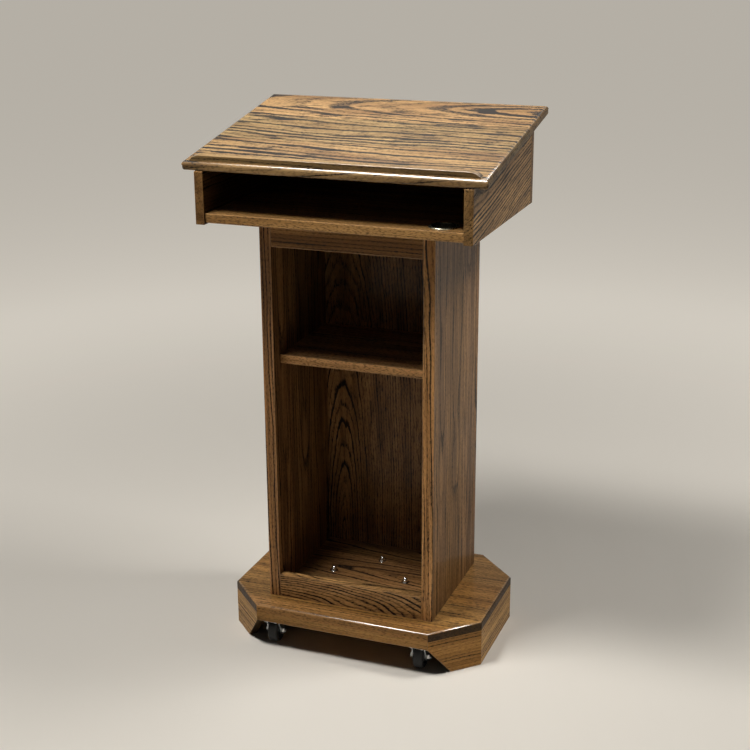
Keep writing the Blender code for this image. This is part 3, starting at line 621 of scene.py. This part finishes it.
# %% Boards of the column
COLUMN = {
    "column_side_left": dict(
        along="Z", across="Y", stave=0.1, spread=0.05, pith=(0.0, 0.07), lean=1, seed=7, bold=1.5, face=0.5,
        painted_edge_light=1.4, fine=0.6, tone_and_painted_light=0.85,
    ),
    "column_side_right": dict(
        along="Z", across="Y", stave=0.1, spread=0.05, pith=(0.0, 0.07), lean=1, seed=8, bold=1.5, face=0.4,
        painted_edge_light=2.65, fine=0.8, tone_and_painted_light=0.88,
    ),
    "column_rear_panel": dict(
        along="Z", across="X", pith=(-0.125, 0.08), lean=-7, year=6, wander=(7, 7), flame=0.8, seed=9,
        bold=1.3, fine=0.5, tone_and_painted_light=1.0,
    ),
    "column_top_rail": dict(along="X", across="Z", pith=(0.08, 0.03), seed=10, tone_and_painted_light=1.3),
    "column_apron": dict(
        along="X", across="Z", pith=(-0.03, 0.04), lean=-10, drift=-6, year=4.5, wander=(10, 14), seed=41,
        bold=1.4, even=0.5, wide=0.05, swell=0.1, tone_and_painted_light=1.42,
    ),
    "column_shelf": dict(
        along="X", across="Y", stave=0.1, spread=0.1, seed=12, bold=0.4, edge=0.4, painted_edge_light=2.1, fine=0.25,
        pore=0.55, swell=0.0,
    ),
    "column_bottom": dict(
        along="X", across="Y", stave=0.12, spread=0.1, year=9, lean=4, drift=3, seed=13, coarse=1.4,
        bold=1.2, tone_and_painted_light=0.9,
    ),
    "column_cap": dict(along="X", across="Y", stave=0.1, spread=0.1, seed=14),
}
print("boards of the column:", len(COLUMN))

# %% [markdown]
# ### Base
# The deck's grain runs across, so its sides and its clipped corners show dark end grain. The skirts below
# them run round the base with a quiet, straight figure. All have the warmer stain of the base. It could be
# named board by board, but it is set once for all of them below.

# %% Boards of the base
BASE = {
    "base_deck": dict(
        along="X", across="Y", stave=0.11, spread=0.2, seed=15, coarse=1.4, bold=0.6, pore=0.4, tone_and_painted_light=1.05,
        ends=0.2,
    ),
    "caster_board": dict(along="X", across="Y", pith=(0.15, 0.03), seed=16, bold=0.7),
    "skirt_left": dict(along="Y", across="Z", pith=(0.1, 0.03), seed=17, bold=0.8),
    # its raised tone is painted light: the sheen and light on the base's right side
    "skirt_right": dict(along="Y", across="Z", pith=(0.1, 0.03), seed=18, bold=0.8, tone_and_painted_light=2.05),
    "skirt_rear": dict(along="X", across="Z", pith=(0.02, 0.08), lean=5, seed=19),
    "corner_front_right": dict(along="clip_out", across="Z", pith=(0.1, 0.03), seed=25, bold=0.8, tone_and_painted_light=1.3),
    "corner_rear_right": dict(along="clip_in", across="Z", pith=(0.1, 0.03), seed=26, bold=0.8),
    "corner_rear_left": dict(along="clip_out", across="Z", pith=(0.1, 0.03), seed=27, bold=0.8),
    "corner_front_left": dict(along="clip_in", across="Z", pith=(0.1, 0.03), seed=28, bold=0.8, tone_and_painted_light=1.4),
}
for cut in BASE.values():
    cut["stain"] = "base"
oaks = {node: oak(node, cut) for node, cut in {**HEAD, **COLUMN, **BASE}.items()}
for node, material in oaks.items():
    coat(node, material)
print("boards of the base:", len(BASE), "of all:", len(oaks))

# %% [markdown]
# ## Working by hand, in code
# The next pieces are modelled as at the screen: add a cube, stretch it, pick edges, bevel. Picking is the
# part that a hand does with the mouse, so one function picks points, edges or faces by a test on their
# place. Points could be picked by number too, but numbers change with every cut, and places don't.

# %% Modelling helpers
def pick(mode, test):
    """Selects the points, edges or faces of the mesh in edit mode that pass a test."""
    bpy.ops.mesh.select_mode(type=mode)
    bpy.ops.mesh.select_all(action="DESELECT")
    shape = bmesh.from_edit_mesh(bpy.context.object.data)
    items = {"VERT": shape.verts, "EDGE": shape.edges, "FACE": shape.faces}[mode]
    for item in [item for item in items if test(item)]:
        item.select_set(True)
    bmesh.update_edit_mesh(bpy.context.object.data)


def start_board(name, low, high):
    """A cube stretched to a board between two corners, left in edit mode."""
    bpy.ops.object.select_all(action="DESELECT")
    bpy.ops.mesh.primitive_cube_add(size=1.0)
    bpy.context.object.name = name
    bpy.ops.object.mode_set(mode="EDIT")
    bpy.ops.transform.resize(value=high - low)
    bpy.ops.transform.translate(value=(low + high) / 2)
    return bpy.context.object


def on_slope():
    """Turns the mesh in edit mode from its own level up to the desk's slope."""
    bpy.ops.mesh.select_all(action="SELECT")
    bpy.ops.transform.rotate(value=-SLOPE, orient_axis="X", center_override=(0.0, 0.0, 0.0))


print("slope for the desk:", round(math.degrees(SLOPE), 2), "degrees")

# %% [markdown]
# ## Ending a piece
# Each piece ends in the same way: smooth shading between gentle slopes, normals weighted by the size of
# their faces so that flats stay flat beside a round, a finish, and a tie to the solid that it stands for.
# Flat shading with more segments could do without the weights, but it would need many times the faces.

# %% Ending a piece
bodies = frame["record"]["behaviour"]["bodies"]
BODY_OF = {node: body for body, nodes in bodies.items() for node in nodes}
SLOT_OF = {part["node"]: part["material_slot"] for part in frame["record"]["subparts"]}
SMOOTH_BELOW = math.radians(35)


def stand_for(piece, node, material):
    """Ends the modelling: smooth shading, a finish, and a place in the frame."""
    bpy.ops.object.mode_set(mode="OBJECT")
    bpy.ops.object.shade_smooth_by_angle(angle=SMOOTH_BELOW)
    bpy.ops.object.modifier_add(type="WEIGHTED_NORMAL")
    piece.modifiers[-1].keep_sharp = True
    bpy.ops.object.modifier_apply(modifier=piece.modifiers[-1].name)
    piece.data.materials.clear()
    piece.data.materials.append(material)
    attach(piece, BODY_OF[node])
    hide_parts(node)
    low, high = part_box(node)
    sides = list(zip(*[point.co for point in piece.data.vertices]))
    off = max(abs(min(side) - edge) for side, edge in zip(sides, low))
    off = max(off, *[abs(max(side) - edge) for side, edge in zip(sides, high)])
    print(piece.name, "faces:", len(piece.data.polygons), "off its solid by", round(1000 * off, 2), "mm")


print("bodies:", sorted(bodies))

# %% [markdown]
# ## Desk top
# The reading board is 19 mm oak with a generous round along its upper edges, which carries the brightest
# line in the picture, and a smaller round below. The solid has these rounds in a few flats. A cube with two
# bevels gives them as smooth curves, which a subdivision surface would not: it would soften the flat top.

# %% Desk top
DESK_ROUND, DESK_UNDER_ROUND = 0.0085, 0.0043
slope_turn = board_turn("X", "up_slope")
low, high = own_box("desk_top", slope_turn)
desk = start_board("desk_board", low, high)
middle = (low.z + high.z) / 2
pick("EDGE", lambda edge: all(point.co.z > middle for point in edge.verts))
bpy.ops.mesh.bevel(offset=DESK_ROUND, segments=9, profile=0.5, affect="EDGES")
under = low.z + DESK_UNDER_ROUND
pick("EDGE", lambda edge: any(point.co.z < under for point in edge.verts))
bpy.ops.mesh.bevel(offset=DESK_UNDER_ROUND, segments=5, profile=0.5, affect="EDGES")
on_slope()
stand_for(desk, "desk_top", oaks["desk_top"])

# %% [markdown]
# ## Book stop
# A strip near the desk's lower edge keeps a book from sliding off. Its ends run down to the desk in a long
# convex curve. A bevel can't make that, because the curve is longer than the strip is high. Spinning the
# end face round a point below the strip sweeps the curve exactly, and a cut along the desk takes off what
# then hangs below.

# %% Book stop
STOP_END_RUN, STOP_ROUND, STOP_SPARE, HAIR, FACING = 0.026, 0.0006, 0.004, 0.00001, 0.9
low, high = own_box("book_stop", slope_turn)
rise = high.z - low.z
bend = (STOP_END_RUN**2 + rise**2) / (2 * rise)
sweep = math.asin(STOP_END_RUN / bend)
straight = Vector((STOP_END_RUN, 0.0, 0.0))
stop = start_board("book_strip", low + straight - Vector((0, 0, STOP_SPARE)), high - straight)
for end in (-1, 1):
    pick("FACE", lambda face: face.normal.x * end > FACING)
    foot = (end * (high.x - STOP_END_RUN), 0.0, high.z - bend)
    bpy.ops.mesh.spin(steps=10, angle=-end * sweep, center=foot, axis=(0.0, 1.0, 0.0))
bpy.ops.mesh.select_all(action="SELECT")
bpy.ops.mesh.bisect(plane_co=low, plane_no=(0.0, 0.0, 1.0), use_fill=True, clear_inner=True)
bpy.ops.mesh.select_all(action="SELECT")
bpy.ops.mesh.normals_make_consistent(inside=False)


def is_upper_arris(edge):
    """True where the strip's front or back meets its curved top."""
    upright = [abs(face.normal.y) > FACING for face in edge.link_faces]
    return sorted(upright) == [False, True] and any(point.co.z > low.z + HAIR for point in edge.verts)


pick("EDGE", is_upper_arris)
bpy.ops.mesh.bevel(offset=STOP_ROUND, segments=4, profile=0.5, affect="EDGES")
on_slope()
stand_for(stop, "book_stop", oaks["book_stop"])

# %% [markdown]
# ## Base deck
# The deck is a board with its four corners clipped and its upper rim rounded over. An eight-sided cylinder
# could be stretched to it, but its sides would all change together. Clipping is a bevel of the four upright
# edges with one flat segment, and the round is a second bevel along the rim that is left.

# %% Base deck
CORNER_CLIP, DECK_ROUND = 0.090, 0.005
low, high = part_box("base_deck")
deck = start_board("deck_board", low, high)
pick("EDGE", lambda edge: abs(edge.verts[0].co.z - edge.verts[1].co.z) > DECK_ROUND)
bpy.ops.mesh.bevel(offset=CORNER_CLIP, segments=1, affect="EDGES")
middle = (low.z + high.z) / 2
pick("EDGE", lambda edge: all(point.co.z > middle for point in edge.verts))
bpy.ops.mesh.bevel(offset=DECK_ROUND, segments=8, profile=0.5, affect="EDGES")
stand_for(deck, "base_deck", oaks["base_deck"])

# %% [markdown]
# ## Metals, nylon and rubber
# The bolts' domed nuts are chrome-plated and the cable ring is satin nickel. The casters are zinc-plated
# pressed steel, and their wheels are nylon and rubber. Each could be one colour and one gloss, but then
# plating and moulding look alike. A fine unevenness in gloss and surface, of a size of its own, is what tells
# them apart. On the real parts it is too fine to show, so it is drawn one to three millimetres wide.

# %% Hardware finishes
FINE_NOISE, FINE_TONES, FINE_DEPTH = (0.3, 0.7), (0.88, 1.06), 0.0001


def hardware(name, chip, metallic, roughness, spread, size, strength):
    """A hardware finish: fine cloudiness in its gloss and a fine bump, both of one size in millimetres."""
    material, tree, shader = new_material(name)
    spot = add(tree, "ShaderNodeTexCoord").node.outputs["Object"]
    fine = add(tree, NOISE, {"Vector": spot, "Scale": mm(size), "Detail": 3.0})
    between = {0: fine, 1: FINE_NOISE[0], 2: FINE_NOISE[1]}
    gloss = add(tree, RANGE, {**between, 3: roughness, 4: roughness + spread})
    tint = add(tree, RANGE, {**between, 3: FINE_TONES[0], 4: FINE_TONES[1]})
    base = add(tree, VECTOR, {0: linear(chip)[:3], "Scale": tint}, operation="SCALE")
    tree.links.new(base, shader.inputs["Base Color"])
    tree.links.new(gloss, shader.inputs["Roughness"])
    shader.inputs["Metallic"].default_value = metallic
    bump = add(tree, "ShaderNodeBump", {"Height": fine, "Strength": strength, "Distance": FINE_DEPTH})
    tree.links.new(bump, shader.inputs["Normal"])
    return material


FINISHES = {
    # a polished mirror, which gives the eye small hard sparks on dark reflections
    "chrome": hardware(
        "chrome_plated_brass", "#dadad8",
        metallic=1.0, roughness=0.07, spread=0.06, size=3.0, strength=0.05,
    ),
    # warmer and softer than chrome: a spark with a short glow round it
    "nickel": hardware(
        "satin_nickel_plated_brass", "#c9c3a8",
        metallic=1.0, roughness=0.22, spread=0.08, size=3.0, strength=0.05,
    ),
    # cool grey, and cloudy from the fine crystals of the zinc
    "zinc": hardware(
        "zinc_plated_pressed_steel", "#b9bbbc",
        metallic=1.0, roughness=0.26, spread=0.14, size=1.2, strength=0.1,
    ),
    # black with a soft sheen, from a mould with a fine grain
    "nylon": hardware(
        "moulded_black_nylon", "#1e1e1f",
        metallic=0.0, roughness=0.42, spread=0.12, size=0.9, strength=0.15,
    ),
    # a deeper black that is nearly dull
    "rubber": hardware(
        "moulded_black_rubber", "#0c0c0d",
        metallic=0.0, roughness=0.6, spread=0.16, size=1.6, strength=0.3,
    ),
}
for part in frame["record"]["subparts"]:
    if part["material_slot"] in FINISHES:
        coat(part["node"], FINISHES[part["material_slot"]])
coat("cable_grommet", FINISHES["nickel"])
print("hardware finishes:", sorted(FINISHES))

# %% [markdown]
# ## Turning small parts
# Nuts, washers, rings and wheels are turned on a lathe or moulded round. At the screen that is a profile,
# drawn by extruding one point from place to place, and a spin about an axis. A cylinder with bevels would
# be quicker, but a drawn profile puts every lip and hollow where the real tool puts it.

# %% Turning
SEAM, ROUND_STEPS, START_SIZE = 0.000005, 48, 0.001


def work_on(piece):
    """Makes a piece the only one selected."""
    bpy.ops.object.select_all(action="DESELECT")
    piece.select_set(True)
    bpy.context.view_layer.objects.active = piece


def turned(name, profile):
    """A profile of (radius, height) points spun about the Z axis."""
    bpy.ops.object.select_all(action="DESELECT")
    bpy.ops.mesh.primitive_plane_add(size=START_SIZE)
    piece = bpy.context.object
    piece.name = name
    bpy.ops.object.mode_set(mode="EDIT")
    bpy.ops.mesh.select_mode(type="VERT")
    bpy.ops.mesh.select_all(action="SELECT")
    bpy.ops.mesh.merge(type="CENTER")
    corners = [Vector((radius, 0.0, height)) for radius, height in profile]
    bpy.ops.transform.translate(value=corners[0])
    for here, there in zip(corners, corners[1:]):
        bpy.ops.mesh.extrude_region_move(TRANSFORM_OT_translate={"value": there - here})
    bpy.ops.mesh.select_all(action="SELECT")
    bpy.ops.mesh.spin(steps=ROUND_STEPS, angle=math.tau, center=(0, 0, 0), axis=(0, 0, 1))
    bpy.ops.mesh.select_all(action="SELECT")
    bpy.ops.mesh.remove_doubles(threshold=SEAM)
    bpy.ops.mesh.normals_make_consistent(inside=False)
    bpy.ops.object.mode_set(mode="OBJECT")
    return piece


def curve(middle, reach, start, end, steps):
    """Points round an ellipse from one angle to another, angles in degrees."""
    angles = [math.radians(start + (end - start) * step / steps) for step in range(steps + 1)]
    return [(middle[0] + reach[0] * math.cos(a), middle[1] + reach[1] * math.sin(a)) for a in angles]


print("round parts are spun in", ROUND_STEPS, "steps")

# %% [markdown]
# ## Cutting hexagons and slots
# A real nut or bolt head has six flats with curved scallops at their corners. A six-sided cylinder with a
# bevel would give straight ones. Keeping only the overlap of a six-sided prism and the turned piece gives the
# scallops for nothing.

# %% Cutting
HEX_SLANT, PRISM_EXCESS = math.tan(math.radians(30)), 3


def carve(piece, tool, operation):
    """Joins, cuts or keeps the overlap of a piece and a tool, then clears the tool away."""
    work_on(piece)
    bpy.ops.object.modifier_add(type="BOOLEAN")
    piece.modifiers[-1].operation = operation
    piece.modifiers[-1].object = tool
    bpy.ops.object.modifier_apply(modifier=piece.modifiers[-1].name)
    bpy.data.objects.remove(tool)


def cut_hexagon(piece, flats, height, turn=0.0):
    """Keeps what lies inside a hexagonal prism, whose corners start on the Y axis."""
    bpy.ops.object.select_all(action="DESELECT")
    corner = flats / 2 / math.cos(math.pi / 6)
    bpy.ops.mesh.primitive_cylinder_add(vertices=6, radius=corner, depth=PRISM_EXCESS * height)
    prism = bpy.context.object
    bpy.ops.object.mode_set(mode="EDIT")
    bpy.ops.transform.rotate(value=turn, orient_axis="Z", center_override=(0, 0, 0))
    bpy.ops.object.mode_set(mode="OBJECT")
    carve(piece, prism, "INTERSECT")


print("hexagon corners fall off at", round(math.degrees(math.atan(HEX_SLANT))), "degrees")

# %% [markdown]
# ## Setting out
# A part is made once, at the world's middle, where its axis is easy to spin about. Then its mesh is moved to
# its place, and copies go to the other places. Linked copies would be lighter, but each piece belongs to a
# solid of its own, so each copy gets a mesh of its own.

# %% Setting out
def move_to(piece, place, along_x=False):
    """Moves the mesh of a piece to its place, after laying its axis along X if wanted."""
    work_on(piece)
    bpy.ops.object.mode_set(mode="EDIT")
    bpy.ops.mesh.select_all(action="SELECT")
    if along_x:
        bpy.ops.transform.rotate(value=-math.pi / 2, orient_axis="Y", center_override=(0, 0, 0))
    bpy.ops.transform.translate(value=place)
    bpy.ops.object.mode_set(mode="OBJECT")


def set_out(piece, nodes):
    """Ties a piece to its first solid, and a copy with its own mesh to each of the others."""
    pieces = [piece]
    for count, node in enumerate(nodes[1:], 2):
        work_on(piece)
        bpy.ops.object.duplicate(linked=False)
        pieces.append(bpy.context.object)
        pieces[-1].name = f"{piece.name}_{count}"
        move_to(pieces[-1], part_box(node)[0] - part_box(nodes[0])[0])
    for each, node in zip(pieces, nodes):
        work_on(each)
        stand_for(each, node, FINISHES[SLOT_OF[node]])


print("solids of metal, nylon and rubber:", sum(slot in FINISHES for slot in SLOT_OF.values()))

# %% [markdown]
# ## Domed nuts
# Three bolts come up through the column's floor and end in acorn nuts, each on a washer. Half a sphere on a
# hexagon would do from afar. But the dome is what sparkles in the dark of the column, so it is spun in fine
# steps, with a small shoulder below it, where a real dome is drawn in before the hexagon starts. The nut
# keeps its blind bore for the bolt.

# %% Domed nuts
NUT_BORE, NUT_BORE_DEPTH, NUT_HEX, DOME_STEP, FOOT_CHAMFER = 0.0035, 0.0058, 0.0045, 0.0004, 0.0004
ON_X = math.pi / 6
low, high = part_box("cap_nut_1")
centre = (low + high) / 2
flats, top, corner = high.y - low.y, high.z - low.z, (high.x - low.x) / 2
dome = flats / 2 - DOME_STEP
scallop = (corner - flats / 2) * HEX_SLANT
profile = [(0.0, NUT_BORE_DEPTH), (NUT_BORE, NUT_BORE_DEPTH), (NUT_BORE, 0.0), (flats / 2, 0.0)]
profile += [(corner, FOOT_CHAMFER), (corner, NUT_HEX - scallop), (flats / 2, NUT_HEX)]
profile += curve((0.0, NUT_HEX + DOME_STEP), (dome, top - NUT_HEX - DOME_STEP), 0, 90, steps=12)
nut = turned("acorn_nut", profile)
cut_hexagon(nut, flats, top, ON_X)
move_to(nut, (centre.x, centre.y, low.z))
set_out(nut, ["cap_nut_1", "cap_nut_2", "cap_nut_3"])

# %% [markdown]
# ## Washers
# A stamped and tumbled washer has no sharp rim. A sharp ring cut from a disc would be quicker, but its rim
# would show no bright line, so its profile has four small rounds.

# %% Washers
WASHER_HOLE, WASHER_ROUND = 0.0036, 0.0004


def ring(inner, outer, thick, soft):
    """The closed profile of a ring with rounded corners."""
    reach = (soft, soft)
    points = curve((inner + soft, soft), reach, 270, 180, steps=3)
    points += curve((inner + soft, thick - soft), reach, 180, 90, steps=3)
    points += curve((outer - soft, thick - soft), reach, 90, 0, steps=3)
    points += curve((outer - soft, soft), reach, 0, -90, steps=3)
    return points + points[:1]


low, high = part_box("bolt_washer_1")
centre = (low + high) / 2
washer = turned("stamped_washer", ring(WASHER_HOLE, (high.x - low.x) / 2, high.z - low.z, WASHER_ROUND))
move_to(washer, (centre.x, centre.y, low.z))
set_out(washer, ["bolt_washer_1", "bolt_washer_2", "bolt_washer_3"])

# %% [markdown]
# ## Cable ring
# A flanged sleeve lines the cable hole in the cubby's floor. Its lip is rolled over, so it shows as a thin
# bright arc. A torus on a tube would do from afar, but the two would cross. One closed profile, with the
# roll drawn as a quarter circle, gives a single skin.

# %% Cable ring
RING_BORE, RING_WALL, RING_LIP, RING_INNER_ROUND = 0.0235, 0.0016, 0.0024, 0.0012
low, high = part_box("cable_grommet")
centre = (low + high) / 2
outer, top = (high.x - low.x) / 2, high.z - low.z
seat = top - RING_LIP
sleeve = RING_BORE + RING_WALL
profile = [(RING_BORE, 0.0), (sleeve, 0.0), (sleeve, seat), (outer, seat)]
profile += curve((outer - RING_LIP, seat), (RING_LIP, RING_LIP), 0, 90, steps=8)[1:]
inner_round = (RING_INNER_ROUND, RING_INNER_ROUND)
profile += curve((RING_BORE + RING_INNER_ROUND, top - RING_INNER_ROUND), inner_round, 90, 180, steps=6)
cable_ring = turned("cable_ring", profile + profile[:1])
move_to(cable_ring, (centre.x, centre.y, low.z))
stand_for(cable_ring, "cable_grommet", FINISHES["nickel"])

# %% [markdown]
# ### The ring's bore
# The bore's colour is darkened as painted shade, as light hardly reaches into the ring. The bore could have a
# material of its own, but then the tone would jump. The distance from the ring's axis lets it fade.

# %% Cable ring: its bore
BORE_PAINTED_SHADE = 0.05
tree = FINISHES["nickel"].node_tree
shader = tree.nodes["Principled BSDF"]
plating = shader.inputs["Base Color"].links[0].from_socket
spot = add(tree, "ShaderNodeTexCoord").node.outputs["Object"]
apart = add(tree, VECTOR, {0: spot, 1: centre}, operation="SUBTRACT")
apart = add(tree, VECTOR, {0: apart, 1: (1.0, 1.0, 0.0)}, operation="MULTIPLY")
radius = add(tree, VECTOR, {0: apart}, operation="LENGTH")
# painted shade: darker towards the inside of the bore
painted_bore_shade = add(tree, RANGE, {0: radius, 1: RING_BORE, 2: RING_BORE + RING_INNER_ROUND, 3: BORE_PAINTED_SHADE})
plating = add(tree, VECTOR, {0: plating, "Scale": painted_bore_shade}, operation="SCALE")
tree.links.new(plating, shader.inputs["Base Color"])
print("the bore fades over", 1000 * RING_INNER_ROUND, "mm")

# %% [markdown]
# ## Tyres
# Each caster wheel is a rubber tyre moulded round a nylon hub. A torus would have no flat tread. So the tyre
# is a profile with a tread and round shoulders, spun about the axle. It rides with the wheel, so it turns
# when the wheel rolls.

# %% Tyres
TYRE_BORE, TYRE_SHOULDER = 0.0178, 0.0045
low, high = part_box("wheel_tyre_left")
axle_place = (low + high) / 2
half, tread = (high.x - low.x) / 2, (high.z - low.z) / 2
shoulder = (tread - TYRE_SHOULDER, half - TYRE_SHOULDER)
crown = curve(shoulder, (TYRE_SHOULDER, TYRE_SHOULDER), 90, 0, steps=10)
profile = [(TYRE_BORE, half)] + crown + [(r, -x) for r, x in reversed(crown)] + [(TYRE_BORE, -half)]
tyre = turned("moulded_tyre", profile + profile[:1])
move_to(tyre, axle_place, along_x=True)
set_out(tyre, ["wheel_tyre_left", "wheel_tyre_right"])

# %% [markdown]
# ## Hubs
# The hub has a hollow on each side with a little draft, so that it leaves its mould. The hollow could be
# cut out of a disc, but a drawn profile has the draft from the start, and mirrored it gives the other side.

# %% Hubs
HUB_RIM, HUB_BOSS, HUB_BORE, HUB_HOLLOW, HUB_DRAFT = 0.0145, 0.0095, 0.0064, 0.003, 0.0005
low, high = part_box("wheel_hub_left")
rim, web = (high.z - low.z) / 2, half - HUB_HOLLOW
face = [(HUB_BORE, half - HUB_DRAFT), (HUB_BORE + HUB_DRAFT, half), (HUB_BOSS - HUB_DRAFT, half)]
face += [(HUB_BOSS, half - HUB_DRAFT), (HUB_BOSS + HUB_DRAFT, web), (HUB_RIM - HUB_DRAFT, web)]
face += [(HUB_RIM, half - HUB_DRAFT), (HUB_RIM + HUB_DRAFT, half), (rim - HUB_DRAFT, half)]
face += [(rim, half - HUB_DRAFT)]
hub = turned("moulded_hub", face + [(r, -x) for r, x in reversed(face)] + face[:1])
move_to(hub, axle_place, along_x=True)
set_out(hub, ["wheel_hub_left", "wheel_hub_right"])

# %% [markdown]
# ## Axle nuts
# Each axle ends in a plain hexagon nut, which shows beside the wheel. Its bore has a chamfer on both sides,
# as a tapped nut has. A bevel could add it later, but in the profile it is there from the start.

# %% Axle nuts
AXLE_BORE, BORE_CHAMFER = 0.0043, 0.0004
low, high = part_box("caster_nut_left")
centre = (low + high) / 2
thick, flats, corner = high.x - low.x, high.z - low.z, (high.y - low.y) / 2
scallop = (corner - flats / 2) * HEX_SLANT
profile = [(AXLE_BORE + BORE_CHAMFER, 0.0), (flats / 2, 0.0), (corner, scallop), (corner, thick - scallop)]
profile += [(flats / 2, thick), (AXLE_BORE + BORE_CHAMFER, thick), (AXLE_BORE, thick - BORE_CHAMFER)]
profile += [(AXLE_BORE, BORE_CHAMFER)]
axle_nut = turned("axle_nut", profile + profile[:1])
cut_hexagon(axle_nut, flats, thick)
move_to(axle_nut, (low.x, centre.y, centre.z), along_x=True)
set_out(axle_nut, ["caster_nut_left", "caster_nut_right"])

# %% [markdown]
# ## Bolts
# The axle is a hexagon bolt, and bolts of the same kind hold the column. Head and shank could be turned as
# one and cut by a prism as long as the bolt. Here the head is cut by itself and the shank is joined on, so
# that the cut doesn't depend on the length. Threads stay off: they sit inside wood or a nut.

# %% Bolts
AXLE_HEAD, AXLE_SHANK, COLUMN_HEAD, COLUMN_SHANK = 0.0055, 0.004, 0.0042, 0.0032


def bolt(name, flats, head, shank, length, turn):
    """A hexagon bolt that stands on its head."""
    corner = flats / 2 / math.cos(math.pi / 6)
    scallop = (corner - flats / 2) * HEX_SLANT
    piece = turned(name, [(0.0, 0.0), (flats / 2, 0.0), (corner, scallop), (corner, head), (0.0, head)])
    cut_hexagon(piece, flats, head, turn)
    end = [(shank, length - BORE_CHAMFER), (shank - BORE_CHAMFER, length), (0.0, length)]
    carve(piece, turned("shank", [(0.0, head / 2), (shank, head / 2)] + end), "UNION")
    return piece


low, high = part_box("caster_axle_left")
centre = (low + high) / 2
axle_bolt = bolt("axle_bolt", high.z - low.z, AXLE_HEAD, AXLE_SHANK, high.x - low.x, turn=0.0)
move_to(axle_bolt, (low.x, centre.y, centre.z), along_x=True)
set_out(axle_bolt, ["caster_axle_left", "caster_axle_right"])
low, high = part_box("column_bolt_1")
centre = (low + high) / 2
column_bolt = bolt("hex_bolt", high.y - low.y, COLUMN_HEAD, COLUMN_SHANK, high.z - low.z, turn=ON_X)
move_to(column_bolt, (centre.x, centre.y, low.z))
set_out(column_bolt, ["column_bolt_1", "column_bolt_2", "column_bolt_3"])

# %% [markdown]
# ## Screws
# Screws hold the caster plates and the head. They are pan heads with a cross. A cross could be drawn by
# bump, but it would be missing from the shape, so it is two slots cut at right angles.

# %% Screws
SCREW_SHANK, SCREW_HEAD, SCREW_POINT = 0.002, 0.0024, 0.003
SLOT_WIDE, SLOT_LONG, SLOT_DEEP = 0.0009, 0.004, 0.0012


def pan_screw(name, node):
    """A pan-head screw that points up, with a cross cut into its head."""
    low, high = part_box(node)
    edge, length = (high.x - low.x) / 2, high.z - low.z
    soft = SCREW_HEAD / 2
    profile = [(0.0, length), (SCREW_SHANK, length - SCREW_POINT)]
    profile += [(SCREW_SHANK, SCREW_HEAD), (edge, SCREW_HEAD)]
    profile += curve((edge - soft, soft), (soft, soft), 0, -90, steps=6) + [(0.0, 0.0)]
    piece = turned(name, profile)
    for size in ((SLOT_LONG, SLOT_WIDE, 2 * SLOT_DEEP), (SLOT_WIDE, SLOT_LONG, 2 * SLOT_DEEP)):
        start_board("slot", Vector(size) / -2, Vector(size) / 2)
        bpy.ops.object.mode_set(mode="OBJECT")
        carve(piece, bpy.context.object, "DIFFERENCE")
    centre = (low + high) / 2
    move_to(piece, (centre.x, centre.y, low.z))
    return piece


set_out(pan_screw("long_pan_screw", "cap_screw_1"), [f"cap_screw_{n}" for n in (1, 2, 3, 4)])
plate_nodes = [f"plate_screw_{side}_{n}" for side in ("left", "right") for n in (1, 2, 3, 4)]
set_out(pan_screw("short_pan_screw", plate_nodes[0]), plate_nodes)

# %% [markdown]
# ## Caster forks
# A fork is one strap of sheet steel, bent to a U, trimmed to tapered legs and welded under a plate. It could
# be bent again here, but its solid already has that form. What it lacks is the burr-free edge that tumbling
# leaves, which is the thin bright line down each leg. So a copy is merged, its flat faces are made whole, and
# its sharp edges get a small bevel.

# %% Caster forks
FORK_BURR, SHARP, FLAT = 0.0003, math.radians(40), math.radians(0.5)
for side in ("left", "right"):
    node = f"caster_fork_{side}"
    fork = bpy.data.objects.new(f"pressed_fork_{side}", frame["nodes"][node].data.copy())
    scene.collection.objects.link(fork)
    fork.data.transform(frame["nodes"][node].matrix_world)
    work_on(fork)
    bpy.ops.object.mode_set(mode="EDIT")
    bpy.ops.mesh.select_all(action="SELECT")
    bpy.ops.mesh.remove_doubles(threshold=SEAM)
    bpy.ops.mesh.dissolve_limited(angle_limit=FLAT)
    bpy.ops.mesh.select_mode(type="EDGE")
    bpy.ops.mesh.select_all(action="DESELECT")
    bpy.ops.mesh.edges_select_sharp(sharpness=SHARP)
    bpy.ops.mesh.bevel(offset=FORK_BURR, segments=2, profile=0.5, affect="EDGES", clamp_overlap=True)
    bpy.ops.object.mode_set(mode="OBJECT")
    stand_for(fork, node, FINISHES["zinc"])

# %% [markdown]
# ## Gloss for the lacquer only
# The two gloss lamps stand for the wide, soft window of light that lies along the lacquered rims. Bright
# metal would burn out under them, so it is left out by light linking: each lamp names a collection, and the
# pieces in it are set to be passed over. They keep the sparkle of the two plain lamps. A rougher metal would
# not burn out either, but then it would no longer look plated.

# %% Gloss for the lacquer only
passed_over = bpy.data.collections.new("bright_metal")
for item in scene.objects:
    if item.name not in frame["nodes"] and item.active_material in FINISHES.values():
        passed_over.objects.link(item)
for entry in passed_over.collection_objects:
    entry.light_linking.link_state = "EXCLUDE"
for gloss in gloss_lamps:
    gloss.light_linking.receiver_collection = passed_over

# %% [markdown]
# ## Sizes and finish
# A finish must not make the lectern grow, so the dressed box is measured now and its size is printed.

# %% Sizes and finish
low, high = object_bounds()
print("dressed size in mm:", [round(1000 * s, 1) for s in high - low])
